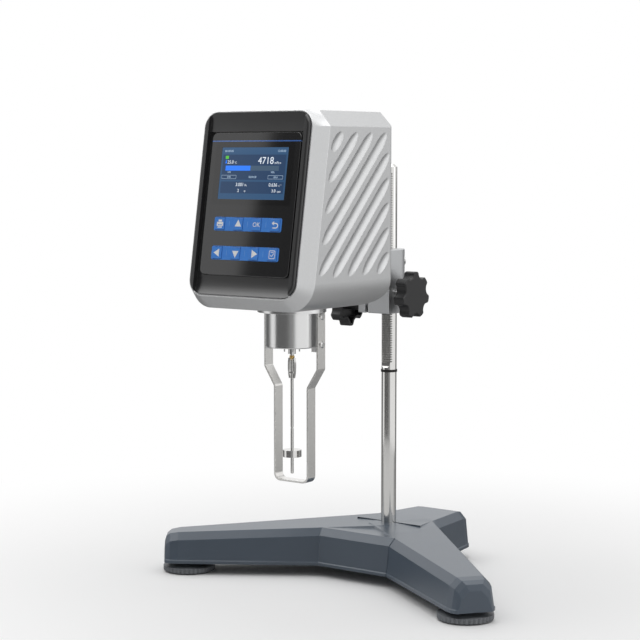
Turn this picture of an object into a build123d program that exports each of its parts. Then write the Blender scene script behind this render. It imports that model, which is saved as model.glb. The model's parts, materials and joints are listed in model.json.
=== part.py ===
from build123d import *
from math import acos, cos, pi, radians, sin, sqrt, tan
import os

# Rotational viscometer on a three-legged stand.  Millimetres, +Z up, front towards -Y.
# The origin is on the bench, at the middle of the whole instrument's footprint.

os.makedirs("parts", exist_ok=True)

# ------------------------------------------------------------------ driving dimensions
# clearances
sliding_gap = 0.06          # radial, column in its bracket and shafts in their bushes
part_gap = 0.30             # between pieces that move past each other
fit_gap = 0.05              # between pieces that are assembled and stay put

# stand
column_r = 8.0
column_top_z = 436.0
hub_top_z = 54.0            # top of the casting round the column
tip_top_z = 44.0            # top of the casting at the ends of the front arms
under_z = 12.0              # underside of the casting
front_arm_deg = -37.0       # direction of the right front arm, from +X
front_arm_reach = 240.0
front_arm_front = (-21.8, -7.0)    # sideways place of its front top edge, at the hub and at the tip
front_arm_back = (46.9, 19.2)      # sideways place of its back top edge
rear_arm_reach = 112.0
rear_arm_half = (40.0, 26.0)       # half width of its top, at the hub and at the tip
rear_tip_z = 52.0
web_forward = 57.0          # the flat web between the front arms
tip_run = 15.0              # the end of an arm rounds down over this length
tip_pinch = 7.0
tip_drop = 11.0
edge_bevel = 7.5
wall_draft = 3.0
lip_out = 1.0
lip_h = 3.0
cast_wall = 7.0
cast_roof = 9.0
foot_inset = 25.6           # feet, back from the ends of the front arms
rear_foot_inset = 34.0
foot_r = 27.5
foot_h = 6.5
foot_stud_r = 4.0
foot_travel = 4.0
pad_h = 1.5

# rack and pinion
gear_module = 0.8
pinion_teeth = 20
tooth_backlash = 0.15
rack_flat = 6.0             # distance of the rack's tips from the column's axis
rack_bottom_z = 225.5
cutter_r = 9.0              # the rack's flat ends in this run-out
rack_top_z = 430.0
pinion_z = 300.0
pinion_half = 5.5
stop_z = 217.0
stop_h = 2.6

# bracket that rides on the column
block_half = 19.5
block_front = 29.0
block_round = 6.0           # centre of its round back, in front of the column's axis
block_low_z = 280.0
block_top_z = 347.0
beam_half = 15.0
beam_low_z = 324.0
plate_half = 27.0
plate_top_z = 372.0
plate_t = 6.0
slit_x = -9.0
slit_w = 3.6
slit_top_z = 293.5

# knobs
knob_r = 24.5
knob_valley_r = 19.2
knob_t = 13.0
knob_lobes = 7
knob_lobe_gap_r = 7.0
knob_wall = 2.7
knob_hollow = 8.0
knob_hub_r = 7.0
clamp_hub_gap = 0.5
lift_knob_x = 30.5
clamp_knob_x = 34.0
clamp_z = 288.8
clamp_forward = 21.0
clamp_screw_r = 2.5

# head
head_half = 75.0
head_low_z = 297.5
head_top_z = 487.5
head_back = 105.0           # back face, in front of the column's axis
head_wall = 4.0
side_bevel = 15.0
low_round = 27.0
back_round = 25.0
lean_deg = 9.37             # the front leans back by this much
glass_forward = 235.8
glass_mid_z = 398.8
rim_half = 65.5
rim_tall = 179.9
rim_round = 16.0
rim_lip = 1.4
seat_edge = 4.9             # from the rim in to the edge of the bezel's seat
crease_back = 15.3          # from the rim back to the crease of the housing
ridge_low = 15.5            # low ends of the side ridges, above the head's underside
plate_bolt = 2.5            # radius of the screws that hold the head on its plate
plate_cap_r = 4.2
shaft_way_r = 14.0
flute_pitch = 17.2
flute_deep = 1.7
flute_r = 10.0
flute_taper = 18.0
flute_margin = 6.0
flute_low_z = 330.0
flute_first = 0.8           # place of the lowest flute, in pitches from the lower back corner
flute_shortest = 18.0

# front panel, measured along the leaning front
bezel_gap = 0.2
bezel_deep = 12.0
ridge_up = 3.0              # side ridges stand this far in front of the glass
trough_half = 58.0
seat_deep = 2.5             # the trough's floor lies this far behind the face of the glass
top_scoop = 1.2             # height of its top edge and of its bottom edge, in front of the glass
low_scoop = 1.5
board_seat = 7.4            # depth of the circuit board's seat
board_t = 1.6
keypad_deep = 2.4           # keypad board, behind the glass
glass_half = 54.0
glass_tall = 138.25
glass_t = 3.0
screen_half = 40.3
screen_tall = 50.0
screen_v = 29.4
strip_half = 41.0
strip_tall = 13.3
strip_v = (-19.7, -47.7)
key_w = 10.7
key_tall = 11.5
key_pitch = 22.3
key_proud = 0.9
key_foot = 0.4              # a key's foot stands this far in front of the glass's back

# connector panel at the back of the head, and the bubble level on its top
panel_half = 48.0
panel_tall = 74.0
panel_mid_z = 426.0
panel_t = 2.0
panel_lap = 5.0
level_r = 9.0
level_forward = 175.0
inlet_at = (-24.0, 14.0)    # on the panel, from its middle
switch_at = (-24.0, -19.0)
serial_at = (20.0, 16.0)
probe_at = (20.0, -16.0)
inlet_size = (27.5, 20.0)
switch_size = (19.0, 13.0)
serial_size = (19.0, 9.0)
probe_r = 7.0
rocker_deep = 5.0
rocker_tilt = 8.0           # switched off, its lower half stands out

# inside the head
deck_t = 5.0
bridge_low_z = 356.0
bridge_t = 4.0
encoder_z = 326.0
bearing_r = 8.0

# spindle drive
spindle_forward = 170.0
housing_r = 26.0
housing_low_z = 256.8
housing_flange_r = 34.0
housing_flange_h = 6.0
drive_shaft_r = 2.0
rod_r = 1.6
rod_tip_z = 130.0
disc_r = 9.36
disc_t = 6.9
disc_z = 150.5
drive_drop = 10.3           # lower end of the drive shaft, below the housing
clip_low_z = 225.5
nut_pin_ring = 7.5
nut_pin_r = 0.7
level_mark_z = 176.0

# spindle guard
guard_t = 1.8
guard_w = 12.0
guard_back = 4.0            # the strap stands this far behind the spindle's axis
guard_screw_r = 1.5
guard_upper = 33.4          # outer half width beside the housing
guard_lower = 21.3          # outer half width beside the spindle
guard_low_z = 121.5
guard_bend_z = (235.7, 216.8)
guard_round = 7.5
lug_low_z = 253.3
guard_screw_z = (288.0, 260.4)

# ------------------------------------------------------------------ derived places
lean = radians(lean_deg)
ridge_reach = glass_forward + (glass_mid_z - head_low_z - ridge_low) * tan(lean) + ridge_up * cos(lean)
column_y = (ridge_reach - rear_arm_reach) / 2
spindle_y = column_y - spindle_forward
head_back_y = column_y - head_back
level_y = column_y - level_forward
guard_y = spindle_y + guard_back
drive_low_z = housing_low_z - drive_drop
deck_low_z = head_low_z + head_wall
rocker_y = head_back_y - rocker_deep
pinion_pitch_r = gear_module * pinion_teeth / 2
rack_pitch_line = rack_flat - gear_module
pinion_y = column_y - rack_pitch_line - pinion_pitch_r
pinion_tip_r = pinion_pitch_r + gear_module
gear_pocket_r = pinion_tip_r + 0.6
clamp_y = column_y - clamp_forward
rim_front = Plane(
    origin=(0, column_y - glass_forward, glass_mid_z),
    x_dir=(1, 0, 0),
    z_dir=(0, -cos(lean), sin(lean)),
)
crease = rim_front.offset(-crease_back)


def front_y(z):
    """Y of the leaning glass plane at a height."""
    return column_y - glass_forward - (glass_mid_z - z) * tan(lean)


def crease_v(z):
    """Height measured along the crease plane."""
    return (z - crease.origin.Z) / cos(lean)


# ================================================================== stand
def casting_arm(direction, stations, inset=0.0):
    """One arm of the casting, or its hollow underside when inset is given."""
    axis = Vector(cos(radians(direction)), sin(radians(direction)), 0)
    across = Vector(-axis.Y, axis.X, 0)
    flare = edge_bevel + wall_draft
    with BuildPart() as arm:
        for reach, near, far, top in stations:
            start = Vector(0, column_y, 0) + axis * reach
            with BuildSketch(Plane(origin=start, x_dir=across, z_dir=axis)):
                with BuildLine():
                    if inset:
                        Polyline(
                            (near - flare + inset, under_z - 1),
                            (near - edge_bevel + inset, top - cast_roof),
                            (far + edge_bevel - inset, top - cast_roof),
                            (far + flare - inset, under_z - 1),
                            close=True,
                        )
                    else:
                        Polyline(
                            (near - flare - lip_out, under_z),
                            (near - flare - lip_out, under_z + lip_h),
                            (near - flare, under_z + lip_h + lip_out),
                            (near - edge_bevel, top - edge_bevel),
                            (near, top),
                            (far, top),
                            (far + edge_bevel, top - edge_bevel),
                            (far + flare, under_z + lip_h + lip_out),
                            (far + flare + lip_out, under_z + lip_h),
                            (far + flare + lip_out, under_z),
                            close=True,
                        )
                make_face()
        loft(ruled=True)
    return arm.part


def rounded_tip(reach, near, far, top):
    """Stations that narrow and drop towards the end of an arm."""
    nose = [(tip_run, 0, 0), (0.4 * tip_run, 0.25, 0.15), (0.12 * tip_run, 0.65, 0.45), (0, 1, 1)]
    return [(reach - back, near + side * tip_pinch, far - side * tip_pinch, top - drop * tip_drop)
            for back, side, drop in nose]


front_stations = [
    (0, front_arm_front[0], front_arm_back[0], hub_top_z),
    *rounded_tip(front_arm_reach, front_arm_front[1], front_arm_back[1], tip_top_z),
]
rear_stations = [
    (0, -rear_arm_half[0], rear_arm_half[0], hub_top_z),
    *rounded_tip(rear_arm_reach, -rear_arm_half[1], rear_arm_half[1], rear_tip_z),
]
front_arm = casting_arm(front_arm_deg, front_stations)
rear_arm = casting_arm(90, rear_stations)
front_hollow = casting_arm(
    front_arm_deg,
    [front_stations[0], (front_arm_reach - tip_run, *front_stations[1][1:])],
    cast_wall,
)
rear_hollow = casting_arm(
    90,
    [rear_stations[0], (rear_arm_reach - tip_run, *rear_stations[1][1:])],
    cast_wall,
)

# where the web meets the front arm's front edge
arm_axis = Vector(cos(radians(front_arm_deg)), sin(radians(front_arm_deg)), 0)
arm_across = Vector(-arm_axis.Y, arm_axis.X, 0)
edge_start = arm_across * front_arm_front[0]
edge_end = arm_axis * front_arm_reach + arm_across * front_arm_front[1]
web_share = (-web_forward - edge_start.Y) / (edge_end.Y - edge_start.Y)
web_half = edge_start.X + web_share * (edge_end.X - edge_start.X)
web_top_z = hub_top_z + web_share * (tip_top_z - hub_top_z)
foot_place = (arm_axis * (front_arm_reach - foot_inset)
              + arm_across * ((front_arm_front[1] + front_arm_back[1]) / 2))
foot_places = {
    "front_left": (-foot_place.X, column_y + foot_place.Y),
    "front_right": (foot_place.X, column_y + foot_place.Y),
    "rear": (0, column_y + rear_arm_reach - rear_foot_inset),
}
foot_roof = {
    "front_left": tip_top_z - cast_roof,
    "front_right": tip_top_z - cast_roof,
    "rear": rear_tip_z - cast_roof,
}

with BuildPart() as base_casting:
    add(front_arm)
    mirror(about=Plane.YZ)
    add(rear_arm)
    web_rows = [
        (under_z, edge_bevel + wall_draft + lip_out),
        (under_z + lip_h, edge_bevel + wall_draft + lip_out),
        (under_z + lip_h + lip_out, edge_bevel + wall_draft),
        (web_top_z - edge_bevel, edge_bevel),
        (web_top_z, 0),
    ]
    for level, out in web_rows:
        with BuildSketch(Plane.XY.offset(level)):
            with BuildLine():
                Polyline(
                    (-web_half + 0.3 * out, column_y - web_forward - out),
                    (web_half - 0.3 * out, column_y - web_forward - out),
                    (web_half * 0.5, column_y),
                    (-web_half * 0.5, column_y),
                    close=True,
                )
            make_face()
    loft(ruled=True)
    add(front_hollow, mode=Mode.SUBTRACT)
    add(mirror(front_hollow, about=Plane.YZ, mode=Mode.PRIVATE), mode=Mode.SUBTRACT)
    add(rear_hollow, mode=Mode.SUBTRACT)
    # bosses for the column and the feet, up to the roof of the hollow
    with BuildSketch(Plane.XY.offset(under_z)):
        with Locations((0, column_y)):
            Circle(column_r + 11)
    extrude(amount=hub_top_z - cast_roof / 2 - under_z)
    for side, place in foot_places.items():
        with BuildSketch(Plane.XY.offset(under_z)):
            with Locations(place):
                Circle(foot_stud_r + 7)
        extrude(amount=foot_roof[side] + cast_roof / 2 - under_z)
    # socket for the column, and the counterbore of its bolt
    with Locations((0, column_y, hub_top_z)):
        Hole(column_r + fit_gap, depth=hub_top_z - under_z - 14)
        Hole(5.3, depth=hub_top_z)
    with Locations((0, column_y, under_z + 8)):
        Hole(10.0, depth=10)
    # threaded holes for the levelling feet
    for side, place in foot_places.items():
        with BuildSketch(Plane.XY.offset(under_z - 1)):
            with Locations(place):
                Circle(foot_stud_r + sliding_gap)
        extrude(amount=foot_roof[side] - under_z + 1, mode=Mode.SUBTRACT)
base_casting.part.label = "base_casting"
export_step(base_casting.part, "parts/base_casting.step")

# the column, with the rack milled into its front
column_low_z = under_z + 14
tooth_pitch = pi * gear_module
rack_spaces = int((rack_top_z - rack_bottom_z - 2 * gear_module) / tooth_pitch)
first_space = pinion_z - int((pinion_z - rack_bottom_z) / tooth_pitch - 0.5) * tooth_pitch
space_mid = tooth_pitch / 2 + tooth_backlash
flank = tan(radians(20))
with BuildPart() as column:
    with Locations((0, column_y, column_low_z)):
        Cylinder(column_r, column_top_z - column_low_z, align=(Align.CENTER, Align.CENTER, Align.MIN))
    chamfer(column.edges().group_by(Axis.Z)[-1], 3.0)
    with Locations((0, column_y - rack_flat, rack_bottom_z)):
        Box(4 * column_r, 2 * column_r, rack_top_z - rack_bottom_z,
            align=(Align.CENTER, Align.MAX, Align.MIN), mode=Mode.SUBTRACT)
    with BuildSketch(Plane.YZ):
        with Locations((column_y - rack_flat - cutter_r, rack_bottom_z)):
            Circle(cutter_r)
    extrude(amount=column_r, both=True, mode=Mode.SUBTRACT)
    with BuildSketch(Plane.YZ):
        for n in range(rack_spaces):
            z = first_space + n * tooth_pitch
            tip_y = column_y - rack_flat
            root_y = column_y - rack_pitch_line + 1.25 * gear_module
            wide = space_mid / 2 + gear_module * flank
            narrow = space_mid / 2 - 1.25 * gear_module * flank
            if z + wide < rack_top_z:
                with BuildLine():
                    Polyline(
                        (tip_y - 1, z - wide), (tip_y, z - wide), (root_y, z - narrow),
                        (root_y, z + narrow), (tip_y, z + wide), (tip_y - 1, z + wide), close=True,
                    )
                make_face()
    extrude(amount=column_r, both=True, mode=Mode.SUBTRACT)
    # groove of the stop ring
    with BuildSketch(Plane.XY.offset(stop_z - stop_h / 2)):
        with Locations((0, column_y)):
            Circle(column_r + 1)
            Circle(column_r - 0.7, mode=Mode.SUBTRACT)
    extrude(amount=stop_h, mode=Mode.SUBTRACT)
    with Locations((0, column_y, column_low_z + 26)):
        Cylinder(5.0 + fit_gap, 26, align=(Align.CENTER, Align.CENTER, Align.MAX), mode=Mode.SUBTRACT)
column.part.label = "column"
export_step(column.part, "parts/column.step")

with BuildPart() as column_bolt:
    with Locations((0, column_y, column_low_z - 6)):
        Cylinder(8.5, 6.5, align=(Align.CENTER, Align.CENTER, Align.MAX))
        Cylinder(5.0, 28, align=(Align.CENTER, Align.CENTER, Align.MIN))
    with BuildSketch(Plane.XY.offset(column_low_z - 12.5)):
        with Locations((0, column_y)):
            RegularPolygon(4.5, 6)
    extrude(amount=4, mode=Mode.SUBTRACT)
column_bolt.part.label = "column_bolt"
export_step(column_bolt.part, "parts/column_bolt.step")

with BuildPart() as stop_ring:
    with BuildSketch(Plane.XY.offset(stop_z - stop_h / 2 + fit_gap)):
        with Locations((0, column_y)):
            Circle(column_r + 0.7)
            Circle(column_r - 0.7 + fit_gap, mode=Mode.SUBTRACT)
    extrude(amount=stop_h - 2 * fit_gap)
stop_ring.part.label = "stop_ring"
export_step(stop_ring.part, "parts/stop_ring.step")

# levelling feet: knurled wheel with its stud, on a rubber pad
for side, (x, y) in foot_places.items():
    with BuildPart() as levelling_foot:
        with BuildSketch(Plane.XY.offset(pad_h)):
            with Locations((x, y)):
                Circle(foot_r)
                with PolarLocations(foot_r + 0.35, 36):
                    Circle(1.0, mode=Mode.SUBTRACT)
        extrude(amount=foot_h - pad_h)
        with Locations((x, y, foot_h)):
            Cone(foot_r - 3, foot_stud_r + 7, 2.2, align=(Align.CENTER, Align.CENTER, Align.MIN))
        with Locations((x, y, foot_h + 2)):
            Cylinder(foot_stud_r + 3, under_z - part_gap - foot_h - 2,
                     align=(Align.CENTER, Align.CENTER, Align.MIN))
            Cylinder(foot_stud_r, foot_roof[side] - foot_h - 2 - foot_travel,
                     align=(Align.CENTER, Align.CENTER, Align.MIN))
        with Locations((x, y, pad_h)):
            Cylinder(foot_r - 5, 1.0, align=(Align.CENTER, Align.CENTER, Align.MIN),
                     mode=Mode.SUBTRACT)
    levelling_foot.part.label = side + "_foot"
    export_step(levelling_foot.part, "parts/" + side + "_foot.step")

    with BuildPart() as foot_pad:
        with Locations((x, y, 0)):
            Cylinder(foot_r - 5 - fit_gap, pad_h + 1.0 - fit_gap,
                     align=(Align.CENTER, Align.CENTER, Align.MIN))
        chamfer(foot_pad.edges().group_by(Axis.Z)[0], 0.5)
    foot_pad.part.label = side + "_foot_pad"
    export_step(foot_pad.part, "parts/" + side + "_foot_pad.step")

# ================================================================== bracket, rack drive and clamp
across_x = Plane(origin=(0, 0, 0), x_dir=(0, 1, 0), z_dir=(1, 0, 0))      # sketches in Y and Z, normal +X
plate_low_z = beam_low_z
plate_mid_z = (plate_low_z + plate_top_z) / 2
plate_grid = (2 * plate_half - 15, plate_top_z - plate_low_z - 14, 2, 2)

with BuildPart() as lift_bracket:
    # block round the column, with a round back
    with BuildSketch(Plane.XY.offset(block_low_z)):
        with Locations((0, column_y - block_front)):
            Rectangle(2 * block_half, block_front - block_round, align=(Align.CENTER, Align.MIN))
        with Locations((0, column_y - block_round)):
            Circle(block_half)
    extrude(amount=block_top_z - block_low_z)
    chamfer(lift_bracket.edges().group_by(Axis.Z)[-1] + lift_bracket.edges().group_by(Axis.Z)[0], 0.8)
    # beam and plate that carry the head
    with BuildSketch(Plane.XZ.offset(block_front - column_y)):
        with Locations((0, (beam_low_z + block_top_z - 0.8) / 2)):
            RectangleRounded(2 * beam_half, block_top_z - 0.8 - beam_low_z, 3)
    extrude(amount=head_back - plate_t - block_front)
    with BuildSketch(Plane.XZ.offset(-head_back_y)):
        with Locations((0, plate_mid_z)):
            RectangleRounded(2 * plate_half, plate_top_z - plate_low_z, 4)
            with GridLocations(*plate_grid):
                Circle(2.7, mode=Mode.SUBTRACT)
    extrude(amount=-plate_t)
    # bore for the column
    with Locations((0, column_y, block_top_z)):
        Hole(column_r + sliding_gap, depth=block_top_z - block_low_z)
    # pocket for the pinion, open to the right for its bush, and the far journal
    with BuildSketch(across_x.offset(-pinion_half - 1)):
        with Locations((pinion_y, pinion_z)):
            Circle(gear_pocket_r)
    extrude(amount=block_half + pinion_half + 2, mode=Mode.SUBTRACT)
    with BuildSketch(across_x.offset(-block_half + 1.5)):
        with Locations((pinion_y, pinion_z)):
            Circle(4 + sliding_gap)
    extrude(amount=block_half - pinion_half, mode=Mode.SUBTRACT)
    # slit and relief that leave the clamping ear free to bend
    with Locations((slit_x, column_y - block_front, block_low_z)):
        Box(slit_w, block_front, 2 * (slit_top_z - block_low_z),
            align=(Align.CENTER, Align.MIN, Align.CENTER), mode=Mode.SUBTRACT)
    with Locations((slit_x, column_y - block_front, slit_top_z)):
        Box(2 * (block_half + slit_x), block_front, 1.6,
            align=(Align.MAX, Align.MIN, Align.MAX), mode=Mode.SUBTRACT)
    # clamping screw: free in the ear, threaded in the block
    with BuildSketch(across_x.offset(-block_half - 1)):
        with Locations((clamp_y, clamp_z)):
            Circle(clamp_screw_r + sliding_gap)
    extrude(amount=block_half + 10, mode=Mode.SUBTRACT)
    # spot face and hole of the guide screw
    guide = Plane(origin=(0, column_y, 334.0), x_dir=(0, 0, 1), z_dir=(1, 1, 0))
    with BuildSketch(guide.offset(13.3)):
        Circle(5.2)
    extrude(amount=10, mode=Mode.SUBTRACT)
    with BuildSketch(guide):
        Circle(2.5 + fit_gap)
    extrude(amount=14, mode=Mode.SUBTRACT)
lift_bracket.part.label = "lift_bracket"
export_step(lift_bracket.part, "parts/lift_bracket.step")

with BuildPart() as guide_screw:
    with BuildSketch(guide.offset(13.3 + 0.02)):
        Circle(4.5)
    extrude(amount=3.6)
    chamfer(guide_screw.edges().sort_by(Axis((0, column_y, 334.0), (1, 1, 0)))[-1], 0.5)
    with BuildSketch(guide.offset(column_r + part_gap)):
        Circle(2.5)
    extrude(amount=13.4 - column_r - part_gap)
    with BuildSketch(guide.offset(13.3 + 3.62)):
        RegularPolygon(2.3, 6)
    extrude(amount=-2, mode=Mode.SUBTRACT)
guide_screw.part.label = "guide_screw"
export_step(guide_screw.part, "parts/guide_screw.step")

plate_front = Plane.XZ.offset(-head_back_y - plate_t)
with BuildPart() as plate_cap_screws:
    with BuildSketch(plate_front):
        with Locations((0, plate_mid_z)):
            with GridLocations(*plate_grid):
                Circle(plate_cap_r)
                RegularPolygon(2.2, 6, mode=Mode.SUBTRACT)
    extrude(amount=-4.5)
    with BuildSketch(plate_front):
        with Locations((0, plate_mid_z)):
            with GridLocations(*plate_grid):
                Circle(plate_bolt)
    extrude(amount=plate_t + head_wall + 4)
plate_cap_screws.part.label = "plate_cap_screws"
export_step(plate_cap_screws.part, "parts/plate_cap_screws.step")


def involute_flank(radius):
    """Half angle of a pinion tooth at a radius."""
    base_r = pinion_pitch_r * cos(radians(20))
    at_pitch = (pi * gear_module / 2 - tooth_backlash) / 2 / pinion_pitch_r
    pressure = acos(min(1.0, base_r / radius))
    return at_pitch + tan(radians(20)) - radians(20) - (tan(pressure) - pressure)


pinion_base_r = pinion_pitch_r * cos(radians(20))
pinion_root_r = pinion_pitch_r - 1.25 * gear_module
flank_radii = [
    pinion_base_r,
    (pinion_base_r + pinion_pitch_r) / 2 + 0.15,
    pinion_pitch_r + 0.4 * gear_module,
    pinion_tip_r,
]
tooth = [(pinion_root_r, involute_flank(pinion_base_r))] + [(r, involute_flank(r)) for r in flank_radii]
tooth += [(r, -half) for r, half in reversed(tooth)]
gear_points = []
for n in range(pinion_teeth):
    for r, turn in tooth:
        angle = turn - 2 * pi * n / pinion_teeth
        gear_points.append((r * cos(angle), r * sin(angle)))
with BuildPart() as pinion_shaft:
    with BuildSketch(Plane(origin=(-pinion_half, pinion_y, pinion_z), x_dir=(0, 1, 0), z_dir=(1, 0, 0))):
        with BuildLine():
            Polyline(*gear_points, close=True)
        make_face()
    extrude(amount=2 * pinion_half)
    with BuildSketch(across_x.offset(-block_half + 2)):
        with Locations((pinion_y, pinion_z)):
            Circle(4.0)
    extrude(amount=2 * block_half - 2 + part_gap)
    with BuildSketch(across_x.offset(block_half + part_gap)):
        with Locations((pinion_y, pinion_z)):
            Circle(5.2)
    extrude(amount=lift_knob_x - block_half - part_gap)
    with BuildSketch(across_x.offset(lift_knob_x)):
        with Locations((pinion_y, pinion_z)):
            Circle(3.0)
    extrude(amount=knob_t - 3)
pinion_shaft.part.label = "pinion_shaft"
export_step(pinion_shaft.part, "parts/pinion_shaft.step")

with BuildPart() as pinion_bush:
    with BuildSketch(across_x.offset(pinion_half + part_gap)):
        with Locations((pinion_y, pinion_z)):
            Circle(gear_pocket_r - 0.02)
            Circle(4.0 + sliding_gap, mode=Mode.SUBTRACT)
    extrude(amount=block_half - pinion_half - part_gap)
    # its inner end is cut away round the column
    with Locations((0, column_y, pinion_z)):
        Cylinder(column_r + sliding_gap, 4 * gear_pocket_r, mode=Mode.SUBTRACT)
pinion_bush.part.label = "pinion_bush"
export_step(pinion_bush.part, "parts/pinion_bush.step")


def star_outline(inset, corner_r):
    """Outline of a lobed knob, or of the hollow inside it when inset is given."""
    with BuildSketch() as star:
        Circle(knob_r - inset)
        with PolarLocations(knob_valley_r + knob_lobe_gap_r, knob_lobes, start_angle=90 + 180 / knob_lobes):
            Circle(knob_lobe_gap_r + inset, mode=Mode.SUBTRACT)
        fillet(star.vertices(), corner_r)
    return star.sketch


with BuildPart() as star_blank:
    with BuildSketch():
        add(star_outline(0, 2.6))
    extrude(amount=knob_t)
    chamfer(star_blank.faces().sort_by(Axis.Z)[-1].edges(), 0.9)
    chamfer(star_blank.faces().sort_by(Axis.Z)[0].edges(), 0.9)
    # moulded hollow on the inner side, round the hub
    with BuildSketch():
        add(star_outline(knob_wall, 0.6))
        Circle(knob_hub_r, mode=Mode.SUBTRACT)
    extrude(amount=knob_hollow, mode=Mode.SUBTRACT)

lift_face = Plane(origin=(lift_knob_x, pinion_y, pinion_z), x_dir=(0, 1, 0), z_dir=(1, 0, 0))
with BuildPart() as lift_knob:
    add(lift_face.from_local_coords(star_blank.part))
    with BuildSketch(lift_face):
        Circle(3.0 + 0.02)
    extrude(amount=knob_t - 3 + 0.02, mode=Mode.SUBTRACT)
lift_knob.part.label = "lift_knob"
export_step(lift_knob.part, "parts/lift_knob.step")

clamp_face = Plane(origin=(-clamp_knob_x, clamp_y, clamp_z), x_dir=(0, 1, 0), z_dir=(-1, 0, 0))
with BuildPart() as clamp_knob:
    add(clamp_face.from_local_coords(star_blank.part))
    with BuildSketch(clamp_face):
        Circle(knob_hub_r)
    extrude(amount=-(clamp_knob_x - block_half - clamp_hub_gap))
    with BuildSketch(clamp_face.offset(-(clamp_knob_x - block_half))):
        Circle(clamp_screw_r + 0.02)
    extrude(amount=clamp_knob_x - block_half + knob_t - 4, mode=Mode.SUBTRACT)
clamp_knob.part.label = "clamp_knob"
export_step(clamp_knob.part, "parts/clamp_knob.step")

with BuildPart() as clamp_screw:
    with BuildSketch(clamp_face.offset(knob_t - 4.5)):
        Circle(clamp_screw_r)
    extrude(amount=-(clamp_knob_x + knob_t - 4.5 + 8))
clamp_screw.part.label = "clamp_screw"
export_step(clamp_screw.part, "parts/clamp_screw.step")

# ================================================================== head
def crease_outline():
    """The head's outline at its crease, bevelled above and rounded below."""
    side = head_half
    top_v = crease_v(head_top_z)
    low_v = crease_v(head_low_z)
    bevel_v = side_bevel / cos(lean)
    turn = low_round * (1 - sqrt(0.5))
    with BuildSketch() as outline:
        with BuildLine():
            l1 = Line((-side + side_bevel, top_v), (side - side_bevel, top_v))
            l2 = Line(l1 @ 1, (side, top_v - bevel_v))
            l3 = Line(l2 @ 1, (side, low_v + low_round))
            l4 = ThreePointArc(l3 @ 1, (side - turn, low_v + turn), (side - low_round, low_v))
            l5 = Line(l4 @ 1, (-side + low_round, low_v))
            l6 = ThreePointArc(l5 @ 1, (-side + turn, low_v + turn), (-side, low_v + low_round))
            l7 = Line(l6 @ 1, (-side, top_v - bevel_v))
            Line(l7 @ 1, l1 @ 0)
        make_face()
    return outline.sketch


def housing_block(inset, back_y, corner_r):
    """The head's outer form behind its crease, or the room inside it when inset is given."""
    with BuildPart() as block:
        with BuildSketch(crease):
            add(crease_outline())
            if inset:
                offset(amount=-inset, kind=Kind.INTERSECTION)
        extrude(amount=glass_forward - head_back + 20, dir=(0, 1, 0))
        split(bisect_by=Plane.XZ.offset(-back_y), keep=Keep.TOP)
        if not inset:
            tall = block.edges().filter_by(Axis.Z).group_by(Axis.Y)[-1]
            fillet(tall, 3.0)
        # round the lower back edge
        low = head_low_z + inset
        with BuildSketch(across_x.offset(-head_half - 5)):
            with BuildLine():
                turn = corner_r * (1 - sqrt(0.5))
                Polyline(
                    (back_y, low + corner_r), (back_y + 5, low + corner_r), (back_y + 5, low - 5),
                    (back_y - corner_r, low - 5), (back_y - corner_r, low),
                )
                ThreePointArc((back_y - corner_r, low), (back_y - turn, low + turn), (back_y, low + corner_r))
            make_face()
        extrude(amount=2 * head_half + 10, mode=Mode.SUBTRACT)
    return block.part


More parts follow.
